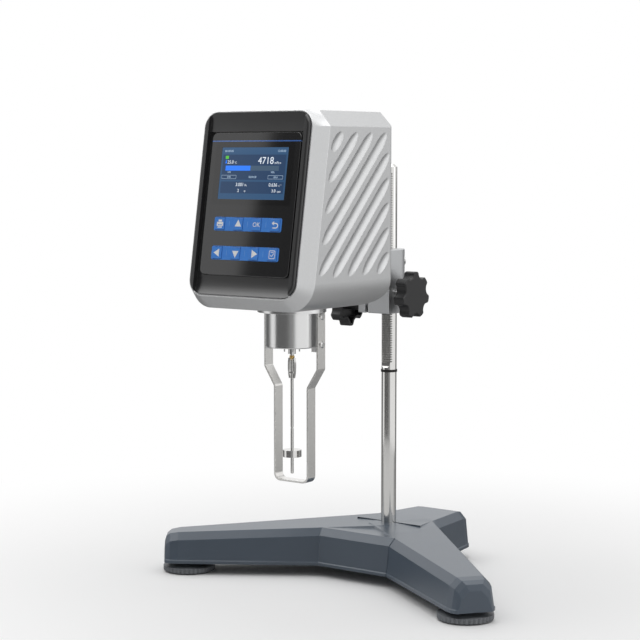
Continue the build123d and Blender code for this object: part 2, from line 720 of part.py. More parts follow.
with BuildPart() as head_shell:
    add(housing_block(0, head_back_y, back_round))
    # the front band narrows from the crease to the rim
    with BuildSketch(crease):
        add(crease_outline())
    with BuildSketch(rim_front):
        with BuildLine():
            up = rim_tall / 2
            curl = rim_round * (1 - sqrt(0.5))
            r1 = Line((-rim_half + rim_round, up), (rim_half - rim_round, up))
            r2 = ThreePointArc(r1 @ 1, (rim_half - curl, up - curl), (rim_half, up - rim_round))
            r3 = Line(r2 @ 1, (rim_half, -up + rim_round))
            r4 = ThreePointArc(r3 @ 1, (rim_half - curl, -up + curl), (rim_half - rim_round, -up))
            r5 = Line(r4 @ 1, (-rim_half + rim_round, -up))
            r6 = ThreePointArc(r5 @ 1, (-rim_half + curl, -up + curl), (-rim_half, -up + rim_round))
            r7 = Line(r6 @ 1, (-rim_half, up - rim_round))
            ThreePointArc(r7 @ 1, (-rim_half + curl, up - curl), r1 @ 0)
        make_face()
    loft(ruled=True)
    # room inside, and the seat of the bezel
    add(housing_block(head_wall, head_back_y - head_wall, back_round - head_wall), mode=Mode.SUBTRACT)
    with BuildSketch(rim_front.offset(1)):
        RectangleRounded(2 * (rim_half - rim_lip), rim_tall - 2 * rim_lip, rim_round - rim_lip)
    extrude(amount=-bezel_deep - 1, mode=Mode.SUBTRACT)
    with BuildSketch(rim_front):
        RectangleRounded(2 * (rim_half - seat_edge), rim_tall - 2 * seat_edge, rim_round - seat_edge)
    extrude(amount=-crease_back - 1, mode=Mode.SUBTRACT)
    # slanting flutes on both sides
    flute_step = flute_pitch * sqrt(2)
    flute_top_z = head_top_z - side_bevel - flute_margin
    flute_back_y = head_back_y - flute_margin
    first_rise = flute_low_z - flute_back_y
    for n in range(1, 12):
        rise = first_rise + (n - 1 + flute_first) * flute_step
        front_low = (rise + front_y(0) + crease_back / cos(lean) + flute_margin) / (1 - tan(lean))
        start_z = max(flute_low_z, front_low)
        end_z = min(flute_top_z, flute_back_y + rise)
        length = (end_z - start_z) * sqrt(2)
        if length < flute_shortest:
            continue
        for side in (-1, 1):
            lift = flute_r - flute_deep
            start = (side * (head_half + lift), start_z - rise, start_z)
            groove = Plane(origin=start, x_dir=(0, 1, 1), z_dir=(0, -side, side))
            taper = min(flute_taper, length / 2 - 1)
            with BuildSketch(groove):
                with BuildLine():
                    bend = (0.45 * taper, lift + 0.72 * flute_deep)
                    g1 = ThreePointArc((0, lift), bend, (taper, flute_r))
                    g2 = Line(g1 @ 1, (length - taper, flute_r))
                    g3 = ThreePointArc(g2 @ 1, (length - bend[0], bend[1]), (length, lift))
                    Polyline(g3 @ 1, (length, 0), (0, 0), (0, lift))
                make_face()
            revolve(axis=Axis(start, (0, 1, 1)), mode=Mode.SUBTRACT)
    # ways through the walls: plate screws, drive shaft, connector panel and bubble level
    with BuildSketch(plate_front):
        with Locations((0, plate_mid_z)):
            with GridLocations(*plate_grid):
                Circle(plate_bolt + fit_gap)
    extrude(amount=plate_t + head_wall + 1, mode=Mode.SUBTRACT)
    with Locations((0, spindle_y, head_low_z - 1)):
        Cylinder(shaft_way_r, head_wall + 2, align=(Align.CENTER, Align.CENTER, Align.MIN),
                 mode=Mode.SUBTRACT)
    with BuildSketch(Plane.XZ.offset(-head_back_y - 1)):
        with Locations((0, panel_mid_z)):
            RectangleRounded(2 * (panel_half - panel_lap), panel_tall - 2 * panel_lap, 2)
    extrude(amount=head_wall + 2, mode=Mode.SUBTRACT)
    with BuildSketch(Plane.XZ.offset(-head_back_y)):
        with Locations((0, panel_mid_z)):
            RectangleRounded(2 * (panel_half + fit_gap), panel_tall + 2 * fit_gap, 3)
    extrude(amount=panel_t, mode=Mode.SUBTRACT)
    with Locations((0, level_y, head_top_z)):
        CounterBoreHole(level_r + fit_gap, level_r + 3 + fit_gap, 2.0, depth=head_wall + 2)
head_shell.part.label = "head_shell"
export_step(head_shell.part, "parts/head_shell.step")

# ------------------------------------------------------------------ front panel
bezel_half = rim_half - rim_lip - bezel_gap
bezel_tall = rim_tall - 2 * (rim_lip + bezel_gap)
bezel_round = rim_round - rim_lip - bezel_gap
front_axis = Axis(tuple(rim_front.origin), tuple(rim_front.z_dir))
side_plane = Plane(origin=rim_front.origin, x_dir=(0, sin(lean), cos(lean)), z_dir=(1, 0, 0))
with BuildPart() as front_bezel:
    with BuildSketch(rim_front.offset(-bezel_deep)):
        RectangleRounded(2 * bezel_half, bezel_tall, bezel_round)
    extrude(amount=bezel_deep + ridge_up)
    fillet(front_bezel.faces().sort_by(front_axis)[-1].edges(), 2.4)
    # trough between the side ridges, scooped up to the top and bottom edges
    half_glass = glass_tall / 2
    with BuildSketch(side_plane.offset(-trough_half)):
        with BuildLine():
            edge = bezel_tall / 2 + 0.5
            over = ridge_up + 2
            c1 = Line((-half_glass - 2, -seat_deep), (half_glass + 0.4, -seat_deep))
            c2 = Line(c1 @ 1, (half_glass + 0.4, -0.2))
            c3 = ThreePointArc(c2 @ 1, (half_glass + 11, 0.1), (edge, top_scoop))
            c4 = Polyline(c3 @ 1, (edge, over), (-edge, over), (-edge, low_scoop))
            ThreePointArc(c4 @ 1, (-half_glass - 9, -seat_deep - 0.2), c1 @ 0)
        make_face()
    extrude(amount=2 * trough_half, mode=Mode.SUBTRACT)
    # opening behind the glass, and the seat of the circuit board
    with BuildSketch(rim_front.offset(ridge_up)):
        RectangleRounded(2 * (glass_half - 3.5), glass_tall - 7, 3)
    extrude(amount=-bezel_deep - ridge_up - 1, mode=Mode.SUBTRACT)
    with BuildSketch(rim_front.offset(ridge_up)):
        RectangleRounded(2 * (glass_half + fit_gap), glass_tall + 2 * fit_gap, 6)
    extrude(amount=-glass_t - ridge_up, mode=Mode.SUBTRACT)
    with BuildSketch(rim_front.offset(-bezel_deep - 1)):
        RectangleRounded(2 * (glass_half + 3), glass_tall + 2, 3)
    extrude(amount=bezel_deep + 1 - board_seat, mode=Mode.SUBTRACT)
front_bezel.part.label = "front_bezel"
export_step(front_bezel.part, "parts/front_bezel.step")

with BuildPart() as front_glass:
    with BuildSketch(rim_front.offset(-glass_t + 0.02)):
        RectangleRounded(2 * glass_half, glass_tall, 6)
        with Locations((0, screen_v)):
            RectangleRounded(2 * screen_half + 0.1, screen_tall + 0.1, 0.6, mode=Mode.SUBTRACT)
        with Locations(*[(0, v) for v in strip_v]):
            RectangleRounded(2 * strip_half + 0.1, strip_tall + 0.1, 2, mode=Mode.SUBTRACT)
    extrude(amount=glass_t - 0.02)
    chamfer(front_glass.faces().sort_by(front_axis)[-1].outer_wire().edges(), 0.5)
front_glass.part.label = "front_glass"
export_step(front_glass.part, "parts/front_glass.step")

with BuildPart() as display:
    with BuildSketch(rim_front.offset(-glass_t)):
        with Locations((0, screen_v)):
            RectangleRounded(2 * screen_half, screen_tall, 0.6)
    extrude(amount=glass_t - 0.1)
    with BuildSketch(rim_front.offset(-board_seat)):
        with Locations((0, screen_v)):
            Rectangle(2 * screen_half + 12, screen_tall + 8)
    extrude(amount=board_seat - glass_t)
display.part.label = "display"
export_step(display.part, "parts/display.step")

strip_names = ("upper_key_strip", "lower_key_strip")
key_names = (
    ("key_print", "key_up", "key_ok", "key_return"),
    ("key_left", "key_down", "key_right", "key_menu"),
)
key_columns = [(-1.5 + n) * key_pitch for n in range(4)]
for strip_name, names, v in zip(strip_names, key_names, strip_v):
    with BuildPart() as key_strip:
        with BuildSketch(rim_front.offset(-glass_t)):
            with Locations((0, v)):
                RectangleRounded(2 * strip_half, strip_tall, 2)
            with Locations(*[(x, v) for x in key_columns]):
                Rectangle(key_w + 2 * part_gap, key_tall + 2 * part_gap, mode=Mode.SUBTRACT)
        extrude(amount=glass_t + 0.3)
    key_strip.part.label = strip_name
    export_step(key_strip.part, "parts/" + strip_name + ".step")

    for key_name, x in zip(names, key_columns):
        with BuildPart() as key:
            with BuildSketch(rim_front.offset(-glass_t + key_foot)):
                with Locations((x, v)):
                    Rectangle(key_w, key_tall)
            extrude(amount=glass_t - key_foot + key_proud)
            chamfer(key.faces().sort_by(front_axis)[-1].edges(), 0.25)
        key.part.label = key_name
        export_step(key.part, "parts/" + key_name + ".step")

with BuildPart() as keypad_board:
    key_mid = (strip_v[0] + strip_v[1]) / 2
    with BuildSketch(rim_front.offset(-glass_t - keypad_deep)):
        with Locations((0, key_mid)):
            Rectangle(2 * glass_half - 9, strip_v[0] - strip_v[1] + strip_tall + 8)
    extrude(amount=board_t)
    with BuildSketch(rim_front.offset(-glass_t - keypad_deep + board_t)):
        with Locations(*[(x, v) for v in strip_v for x in key_columns]):
            Circle(2.5)
    extrude(amount=0.4)
    with BuildSketch(rim_front.offset(-board_seat)):
        with Locations((0, key_mid)):
            with GridLocations(2 * glass_half - 17, strip_v[0] - strip_v[1] + 12, 2, 2):
                Circle(2.0)
    extrude(amount=board_seat - glass_t - keypad_deep)
keypad_board.part.label = "keypad_board"
export_step(keypad_board.part, "parts/keypad_board.step")

with BuildPart() as main_board:
    with BuildSketch(rim_front.offset(-board_seat - board_t)):
        RectangleRounded(2 * (glass_half + 2.8), glass_tall, 3.5)
    extrude(amount=board_t)
    with BuildSketch(rim_front.offset(-board_seat - board_t)):
        with Locations((-20, -10), (22, -14)):
            Rectangle(24, 24)
        with Locations((0, 34)):
            Rectangle(60, 14)
    extrude(amount=-3)
main_board.part.label = "main_board"
export_step(main_board.part, "parts/main_board.step")

# ------------------------------------------------------------------ inside the head
with BuildPart() as chassis:
    with BuildSketch(Plane.XY.offset(deck_low_z)):
        with Locations((0, head_back_y - back_round)):
            Rectangle(96, spindle_forward - head_back + 15, align=(Align.CENTER, Align.MAX))
    extrude(amount=deck_t)
    # upright plate behind, stepped over the rounded lower edge of the shell
    shelf_z = head_low_z + back_round
    with Locations((0, head_back_y - head_wall, shelf_z)):
        Box(78, deck_t, plate_top_z - shelf_z, align=(Align.CENTER, Align.MAX, Align.MIN))
        Box(78, back_round - head_wall + deck_t, deck_t, align=(Align.CENTER, Align.MAX, Align.MIN))
    with Locations((0, head_back_y - back_round, deck_low_z)):
        Box(78, deck_t, shelf_z + deck_t - deck_low_z, align=(Align.CENTER, Align.MAX, Align.MIN))
    with BuildSketch(Plane.XY.offset(deck_low_z + deck_t)):
        with Locations((0, spindle_y)):
            with GridLocations(52, 44, 2, 2):
                Circle(3.5)
    extrude(amount=bridge_low_z - deck_low_z - deck_t)
    with BuildSketch(Plane.XY.offset(bridge_low_z)):
        with Locations((0, spindle_y)):
            RectangleRounded(64, 56, 4)
            Circle(6, mode=Mode.SUBTRACT)
    extrude(amount=bridge_t)
    with BuildSketch(Plane.XY.offset(deck_low_z)):
        with Locations((0, spindle_y)):
            Circle(bearing_r + 0.02)
    extrude(amount=deck_t, mode=Mode.SUBTRACT)
    with BuildSketch(plate_front):
        with Locations((0, plate_mid_z)):
            with GridLocations(*plate_grid):
                Circle(plate_bolt + fit_gap)
    extrude(amount=plate_t + head_wall + deck_t + 1, mode=Mode.SUBTRACT)
chassis.part.label = "chassis"
export_step(chassis.part, "parts/chassis.step")

with BuildPart() as gear_motor:
    with Locations((0, spindle_y, bridge_low_z + bridge_t)):
        Cylinder(19, 12, align=(Align.CENTER, Align.CENTER, Align.MIN))
    with Locations((0, spindle_y, bridge_low_z + bridge_t + 12)):
        Cylinder(17.5, 30, align=(Align.CENTER, Align.CENTER, Align.MIN))
    with Locations((0, spindle_y, bridge_low_z + bridge_t)):
        Cylinder(5.5, bridge_t - 0.5, align=(Align.CENTER, Align.CENTER, Align.MAX))
gear_motor.part.label = "gear_motor"
export_step(gear_motor.part, "parts/gear_motor.step")

with BuildPart() as power_supply:
    with Locations((0, head_back_y - head_wall - deck_t, plate_top_z - 2)):
        Box(70, 16, plate_top_z - 2 - shelf_z - deck_t, align=(Align.CENTER, Align.MAX, Align.MAX))
power_supply.part.label = "power_supply"
export_step(power_supply.part, "parts/power_supply.step")

with BuildPart() as bearing_housing:
    with Locations((0, spindle_y, head_low_z)):
        Cylinder(housing_flange_r, housing_flange_h, align=(Align.CENTER, Align.CENTER, Align.MAX))
        Cylinder(housing_r, head_low_z - housing_low_z, align=(Align.CENTER, Align.CENTER, Align.MAX))
    chamfer(bearing_housing.edges().group_by(Axis.Z)[0], 0.8)
    with Locations((0, spindle_y, head_low_z)):
        Hole(housing_r - 5, depth=head_low_z - housing_low_z - 6.2)
        Hole(bearing_r + 0.02, depth=head_low_z - housing_low_z)
bearing_housing.part.label = "bearing_housing"
export_step(bearing_housing.part, "parts/bearing_housing.step")

with BuildPart() as shaft_bearings:
    for low in (housing_low_z, deck_low_z):
        with BuildSketch(Plane.XY.offset(low)):
            with Locations((0, spindle_y)):
                Circle(bearing_r)
                Circle(drive_shaft_r + sliding_gap, mode=Mode.SUBTRACT)
        extrude(amount=deck_t)
shaft_bearings.part.label = "shaft_bearings"
export_step(shaft_bearings.part, "parts/shaft_bearings.step")

with BuildPart() as bearing_nut:
    nut_plane = Plane.XY.offset(housing_low_z)
    with BuildSketch(nut_plane):
        with Locations((0, spindle_y)):
            Circle(3.8)
            Circle(drive_shaft_r + part_gap, mode=Mode.SUBTRACT)
    extrude(amount=-7.2)
    with BuildSketch(nut_plane):
        with Locations((0, spindle_y)):
            with PolarLocations(nut_pin_ring, 4, start_angle=45):
                Circle(nut_pin_r)
    extrude(amount=-5)
    with BuildSketch(nut_plane):
        with Locations((0, spindle_y)):
            Circle(nut_pin_ring + nut_pin_r + 0.3)
            Circle(drive_shaft_r + part_gap, mode=Mode.SUBTRACT)
    extrude(amount=-0.4)
bearing_nut.part.label = "bearing_nut"
export_step(bearing_nut.part, "parts/bearing_nut.step")

# ------------------------------------------------------------------ what turns
with BuildPart() as drive_shaft:
    with Locations((0, spindle_y, drive_low_z)):
        Cylinder(drive_shaft_r, bridge_low_z - drive_low_z, align=(Align.CENTER, Align.CENTER, Align.MIN))
    with Locations((0, spindle_y, encoder_z)):
        Cylinder(5, 18, align=(Align.CENTER, Align.CENTER, Align.MIN))
drive_shaft.part.label = "drive_shaft"
export_step(drive_shaft.part, "parts/drive_shaft.step")

with BuildPart() as encoder_disc:
    with BuildSketch(Plane.XY.offset(encoder_z - 1.2)):
        with Locations((0, spindle_y)):
            Circle(20)
            Circle(drive_shaft_r, mode=Mode.SUBTRACT)
            with PolarLocations(17, 24):
                Rectangle(3.2, 1.6, mode=Mode.SUBTRACT)
    extrude(amount=1.2)
encoder_disc.part.label = "encoder_disc"
export_step(encoder_disc.part, "parts/encoder_disc.step")

with BuildPart() as torsion_spring:
    with BuildSketch(Plane.XY.offset(encoder_z + 8)) as coil:
        with BuildLine():
            turns = [
                ((5.2 + 2.4 * t) * cos(2 * pi * t), spindle_y + (5.2 + 2.4 * t) * sin(2 * pi * t))
                for t in [n / 12 for n in range(0, 43)]
            ]
            Spline(*turns)
        trace(line_width=0.4)
    extrude(amount=3)
torsion_spring.part.label = "torsion_spring"
export_step(torsion_spring.part, "parts/torsion_spring.step")

with BuildPart() as optical_sensor:
    with Locations((0, spindle_y - 26, deck_low_z + deck_t)):
        Box(10, 16, encoder_z + 8 - deck_low_z - deck_t, align=(Align.CENTER, Align.CENTER, Align.MIN))
    with Locations((0, spindle_y - 16, encoder_z - 0.6)):
        Box(12, 16, 5, mode=Mode.SUBTRACT)
optical_sensor.part.label = "optical_sensor"
export_step(optical_sensor.part, "parts/optical_sensor.step")

with BuildPart() as coupling_nut:
    with Locations((0, spindle_y, drive_low_z)):
        Sphere(2.6)
        Cylinder(drive_shaft_r, 8, mode=Mode.SUBTRACT, align=(Align.CENTER, Align.CENTER, Align.MIN))
coupling_nut.part.label = "coupling_nut"
export_step(coupling_nut.part, "parts/coupling_nut.step")

clip_top_z = drive_low_z - 1.0
with BuildPart() as coupling_clip:
    for side in (-1, 1):
        with BuildSketch(Plane.XZ.offset(-spindle_y - 1.4)):
            with BuildLine():
                spine = Spline(
                    (side * 2.95, clip_top_z), (side * 3.6, clip_top_z - 6),
                    (side * 3.3, clip_top_z - 14), (side * 2.3, clip_low_z),
                )
            trace(spine, line_width=1.1)
        extrude(amount=2.8)
    with BuildSketch(Plane.XY.offset((clip_top_z + clip_low_z) / 2 - 5)):
        with Locations((0, spindle_y)):
            RectangleRounded(6.4, 4.8, 1.2)
            Circle(rod_r + 0.02, mode=Mode.SUBTRACT)
    extrude(amount=1.6)
coupling_clip.part.label = "coupling_clip"
export_step(coupling_clip.part, "parts/coupling_clip.step")

with BuildPart() as spindle:
    with BuildSketch(Plane.YZ) as turned:
        with BuildLine():
            y0 = spindle_y
            top = drive_low_z - 2.7
            Polyline(
                (y0, rod_tip_z), (y0 - rod_r + 0.4, rod_tip_z), (y0 - rod_r, rod_tip_z + 0.4),
                (y0 - rod_r, disc_z - disc_t / 2), (y0 - disc_r, disc_z - disc_t / 2),
                (y0 - disc_r, disc_z + disc_t / 2), (y0 - rod_r, disc_z + disc_t / 2),
                (y0 - rod_r, level_mark_z - 0.8), (y0 - rod_r + 0.45, level_mark_z - 0.4),
                (y0 - rod_r + 0.45, level_mark_z + 0.4), (y0 - rod_r, level_mark_z + 0.8),
                (y0 - rod_r, top - 0.5), (y0 - rod_r + 0.5, top), (y0, top), close=True,
            )
        make_face()
    revolve(axis=Axis((0, spindle_y, 0), (0, 0, 1)))
spindle.part.label = "spindle"
export_step(spindle.part, "parts/spindle.step")

# ------------------------------------------------------------------ guard round the spindle
with BuildPart() as guard_lugs:
    for side in (-1, 1):
        with BuildSketch(Plane.XY.offset(lug_low_z)):
            with Locations((side * (guard_upper - guard_t), guard_y)):
                Rectangle(10, guard_w + 1, align=(Align.MAX if side > 0 else Align.MIN, Align.CENTER))
            with Locations((0, spindle_y)):
                Circle(housing_r + 0.01, mode=Mode.SUBTRACT)
        extrude(amount=head_low_z - housing_flange_h - lug_low_z)
    with BuildSketch(across_x.offset(-guard_upper)):
        with Locations(*[(guard_y, z) for z in guard_screw_z]):
            Circle(guard_screw_r + fit_gap)
    extrude(amount=2 * guard_upper, mode=Mode.SUBTRACT)
guard_lugs.part.label = "guard_lugs"
export_step(guard_lugs.part, "parts/guard_lugs.step")

guard_top_z = head_low_z - housing_flange_h
upper_mid = guard_upper - guard_t / 2
lower_mid = guard_lower - guard_t / 2
with BuildPart() as spindle_guard:
    with BuildSketch(Plane.XZ.offset(-guard_y - guard_w / 2)):
        with BuildLine():
            right_leg = [
                (upper_mid, guard_top_z), (upper_mid, guard_bend_z[0]),
                (lower_mid, guard_bend_z[1]), (lower_mid, guard_low_z + guard_t / 2),
            ]
            left_leg = [(-x, z) for x, z in reversed(right_leg)]
            strap = FilletPolyline(
                *right_leg, *left_leg,
                radius=[3, 3, guard_round - guard_t / 2, guard_round - guard_t / 2, 3, 3],
            )
        trace(strap, line_width=guard_t)
    extrude(amount=guard_w)
    with BuildSketch(across_x.offset(-guard_upper - 1)):
        with Locations(*[(guard_y, z) for z in guard_screw_z]):
            Circle(guard_screw_r + fit_gap)
    extrude(amount=2 * guard_upper + 2, mode=Mode.SUBTRACT)
spindle_guard.part.label = "spindle_guard"
export_step(spindle_guard.part, "parts/spindle_guard.step")

with BuildPart() as guard_screws:
    for side in (-1, 1):
        outward = Plane(
            origin=(side * guard_upper, guard_y, 0), x_dir=(0, side, 0), z_dir=(side, 0, 0),
        )
        with BuildSketch(outward):
            with Locations(*[(0, z) for z in guard_screw_z]):
                Circle(3.4)
        extrude(amount=2.4)
        with BuildSketch(outward):
            with Locations(*[(0, z) for z in guard_screw_z]):
                Circle(guard_screw_r)
        extrude(amount=-6)
    heads = guard_screws.faces().filter_by(Axis.X).sort_by(Axis.X)
    chamfer([e for f in heads[:2] + heads[-2:] for e in f.edges()], 1.0)
guard_screws.part.label = "guard_screws"
export_step(guard_screws.part, "parts/guard_screws.step")

# ------------------------------------------------------------------ bubble level
with BuildPart() as level_ring:
    with BuildSketch(Plane.XY.offset(head_top_z - 2.0)):
        with Locations((0, level_y)):
            Circle(level_r + 3)
            Circle(level_r - 1.5, mode=Mode.SUBTRACT)
    extrude(amount=2.0)
    with BuildSketch(Plane.XY.offset(head_top_z - 8.0)):
        with Locations((0, level_y)):
            Circle(level_r)
            Circle(level_r - 1.5, mode=Mode.SUBTRACT)
    extrude(amount=6.0)
level_ring.part.label = "level_ring"
export_step(level_ring.part, "parts/level_ring.step")

with BuildPart() as level_vial:
    with Locations((0, level_y, head_top_z - 0.3)):
        Cylinder(level_r - 1.55, 7.7, align=(Align.CENTER, Align.CENTER, Align.MAX))
level_vial.part.label = "level_vial"
export_step(level_vial.part, "parts/level_vial.step")

# ------------------------------------------------------------------ connector panel
panel_back = Plane(origin=(0, head_back_y, panel_mid_z), x_dir=(1, 0, 0), z_dir=(0, -1, 0))
with BuildPart() as rear_panel:
    with BuildSketch(panel_back):
        RectangleRounded(2 * panel_half, panel_tall, 3)
        with GridLocations(2 * panel_half - 7, panel_tall - 7, 2, 2):
            Circle(1.5 + fit_gap, mode=Mode.SUBTRACT)
        for place, size in ((inlet_at, inlet_size), (switch_at, switch_size), (serial_at, serial_size)):
            with Locations(place):
                Rectangle(size[0] + 0.1, size[1] + 0.1, mode=Mode.SUBTRACT)
        with Locations(probe_at):
            Circle(probe_r + fit_gap, mode=Mode.SUBTRACT)
    extrude(amount=panel_t - 0.02)
rear_panel.part.label = "rear_panel"
export_step(rear_panel.part, "parts/rear_panel.step")

with BuildPart() as rear_panel_screws:
    with BuildSketch(panel_back):
        with GridLocations(2 * panel_half - 7, panel_tall - 7, 2, 2):
            Circle(2.8)
    extrude(amount=-1.6)
    with BuildSketch(panel_back):
        with GridLocations(2 * panel_half - 7, panel_tall - 7, 2, 2):
            Circle(1.5)
    extrude(amount=panel_t - 0.05)
rear_panel_screws.part.label = "rear_panel_screws"
export_step(rear_panel_screws.part, "parts/rear_panel_screws.step")

with BuildPart() as power_inlet:
    with BuildSketch(panel_back):
        with Locations(inlet_at):
            RectangleRounded(inlet_size[0] + 5, inlet_size[1] + 5, 2)
    extrude(amount=-2)
    with BuildSketch(panel_back):
        with Locations(inlet_at):
            Rectangle(*inlet_size)
    extrude(amount=18)
    with BuildSketch(panel_back.offset(-2)):
        with Locations(inlet_at):
            Rectangle(inlet_size[0] - 3, inlet_size[1] - 3)
    extrude(amount=17, mode=Mode.SUBTRACT)
    with BuildSketch(panel_back.offset(15)):
        with Locations((inlet_at[0] - 7, inlet_at[1] - 1), (inlet_at[0], inlet_at[1] + 3),
                       (inlet_at[0] + 7, inlet_at[1] - 1)):
            Rectangle(2, 4)
    extrude(amount=-13)
power_inlet.part.label = "power_inlet"
export_step(power_inlet.part, "parts/power_inlet.step")

with BuildPart() as switch_frame:
    with BuildSketch(panel_back):
        with Locations(switch_at):
            RectangleRounded(switch_size[0] + 3, switch_size[1] + 3, 1)
    extrude(amount=-1.5)
    with BuildSketch(panel_back):
        with Locations(switch_at):
            Rectangle(*switch_size)
    extrude(amount=16)
    with BuildSketch(panel_back.offset(-1.5)):
        with Locations(switch_at):
            Rectangle(switch_size[0] - 3, switch_size[1] - 2)
    extrude(amount=15.5, mode=Mode.SUBTRACT)
    with Locations((switch_at[0], rocker_y, panel_mid_z + switch_at[1])):
        Cylinder(1.0, switch_size[0], rotation=(0, 90, 0))
switch_frame.part.label = "switch_frame"
export_step(switch_frame.part, "parts/switch_frame.step")

rocker_half = switch_size[0] / 2 - 1.5 - part_gap
tilt = radians(rocker_tilt)
with BuildPart() as switch_rocker:
    with BuildSketch(Plane(
        origin=(switch_at[0] - rocker_half, rocker_y, panel_mid_z + switch_at[1]),
        x_dir=(0, cos(tilt), sin(tilt)),
        z_dir=(1, 0, 0),
    )):
        with BuildLine():
            Polyline(
                (-3, -2.5), (-3, 2.5), (4.4, 4.5), (7.4, 4.2), (5.6, 0), (7.4, -4.2), (4.4, -4.5), close=True,
            )
        make_face()
        Circle(1.0 + sliding_gap, mode=Mode.SUBTRACT)
    extrude(amount=2 * rocker_half)
switch_rocker.part.label = "switch_rocker"
export_step(switch_rocker.part, "parts/switch_rocker.step")

with BuildPart() as serial_port:
    with BuildSketch(panel_back):
        with Locations(serial_at):
            RectangleRounded(serial_size[0] + 12, serial_size[1] + 3.5, 1)
    extrude(amount=-0.8)
    with BuildSketch(panel_back):
        with Locations(serial_at):
            Rectangle(*serial_size)
    extrude(amount=10)
    with BuildSketch(panel_back):
        with Locations(serial_at):
            Trapezoid(serial_size[0] - 1, serial_size[1] - 0.6, 80)
    extrude(amount=-6)
serial_port.part.label = "serial_port"
export_step(serial_port.part, "parts/serial_port.step")

with BuildPart() as probe_socket:
    with BuildSketch(panel_back):
        with Locations(probe_at):
            Circle(probe_r + 2.5)
            Circle(probe_r - 1.5, mode=Mode.SUBTRACT)
    extrude(amount=-2.5)
    with BuildSketch(panel_back):
        with Locations(probe_at):
            Circle(probe_r)
    extrude(amount=12)
probe_socket.part.label = "probe_socket"
export_step(probe_socket.part, "parts/probe_socket.step")
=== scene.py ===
import json
import math

import bmesh
import bpy
from mathutils import Matrix, Vector


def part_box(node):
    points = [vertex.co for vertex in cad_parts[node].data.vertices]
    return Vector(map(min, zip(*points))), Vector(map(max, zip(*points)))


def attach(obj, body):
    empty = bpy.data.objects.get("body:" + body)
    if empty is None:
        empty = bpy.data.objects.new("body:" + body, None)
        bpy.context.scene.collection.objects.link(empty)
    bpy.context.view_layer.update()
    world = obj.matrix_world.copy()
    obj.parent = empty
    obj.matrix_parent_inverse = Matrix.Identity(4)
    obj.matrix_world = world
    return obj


# Rotational viscometer: finishes, screen, key signs, knurls, pins, level and studio.
# Sizes are millimetres unless a name ends in _m; the studio's places and sizes are metres.

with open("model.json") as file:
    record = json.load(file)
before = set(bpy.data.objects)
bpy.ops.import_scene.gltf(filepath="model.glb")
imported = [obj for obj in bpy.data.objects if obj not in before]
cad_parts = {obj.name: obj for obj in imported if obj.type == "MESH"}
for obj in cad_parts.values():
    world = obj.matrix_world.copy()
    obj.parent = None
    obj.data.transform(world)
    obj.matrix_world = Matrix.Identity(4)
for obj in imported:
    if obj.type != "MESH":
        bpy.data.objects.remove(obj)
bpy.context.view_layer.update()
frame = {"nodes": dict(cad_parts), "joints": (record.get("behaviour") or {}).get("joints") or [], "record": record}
nodes = frame["nodes"]
MM = 0.001
X_AXIS, Y_AXIS, Z_AXIS = Vector((1, 0, 0)), Vector((0, 1, 0)), Vector((0, 0, 1))


# ------------------------------------------------------------------ places on the frame
def joint(name):
    """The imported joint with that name."""
    return next(j for j in frame["joints"] if j["name"] == name)


def axes_matrix(across, up, out, origin=Vector()):
    """Takes millimetres along three directions from an origin in metres to the object's own metres."""
    turned = Matrix((across, up, out)).transposed().to_4x4()
    return Matrix.Translation(origin) @ turned @ Matrix.Scale(MM, 4)


def extent(node, place):
    """Lowest and highest corner of a node in the millimetres of a place."""
    back = place.inverted()
    spots = [back @ vertex.co for vertex in nodes[node].data.vertices]
    low = Vector([min(spot[i] for spot in spots) for i in range(3)])
    high = Vector([max(spot[i] for spot in spots) for i in range(3)])
    return low, high


def middle(node, place):
    """Middle of a node in the millimetres of a place."""
    low, high = extent(node, place)
    return (low + high) / 2


# the leaning front panel: x across, y up along it, z out of it, from the middle of the glass
inward = Vector(joint("key_ok_press")["axis"])
up_panel = X_AXIS.cross(inward)
tilted = axes_matrix(X_AXIS, up_panel, -inward)
glass_low, glass_high = extent("front_glass", tilted)
panel = axes_matrix(
    X_AXIS, up_panel, -inward,
    tilted @ Vector((0, (glass_low.y + glass_high.y) / 2, glass_high.z)),
)
screen_low, screen_high = extent("display", panel)
keys = ("key_print", "key_up", "key_ok", "key_return", "key_left", "key_down", "key_right", "key_menu")
key_middles = {name: middle(name, panel) for name in keys}
key_face = extent("key_ok", panel)[1].z
strip_face = extent("upper_key_strip", panel)[1].z


# ------------------------------------------------------------------ finishes
class Wire:
    """A shader socket that Python's own operators work on."""

    def __init__(self, finish, socket):
        self.finish = finish
        self.socket = socket

    def maths(self, operation, *values):
        """A Math node on some values."""
        return self.finish.node("ShaderNodeMath", {"operation": operation}, dict(enumerate(values)))

    def __add__(self, other):
        return self.maths("ADD", self, other)

    __radd__ = __add__

    def __sub__(self, other):
        return self.maths("SUBTRACT", self, other)

    def __rsub__(self, other):
        return self.maths("SUBTRACT", other, self)

    def __mul__(self, other):
        return self.maths("MULTIPLY", self, other)

    __rmul__ = __mul__

    def __truediv__(self, other):
        return self.maths("DIVIDE", self, other)

    def __abs__(self):
        return self.maths("ABSOLUTE", self)

    def sine(self):
        return self.maths("SINE", self)


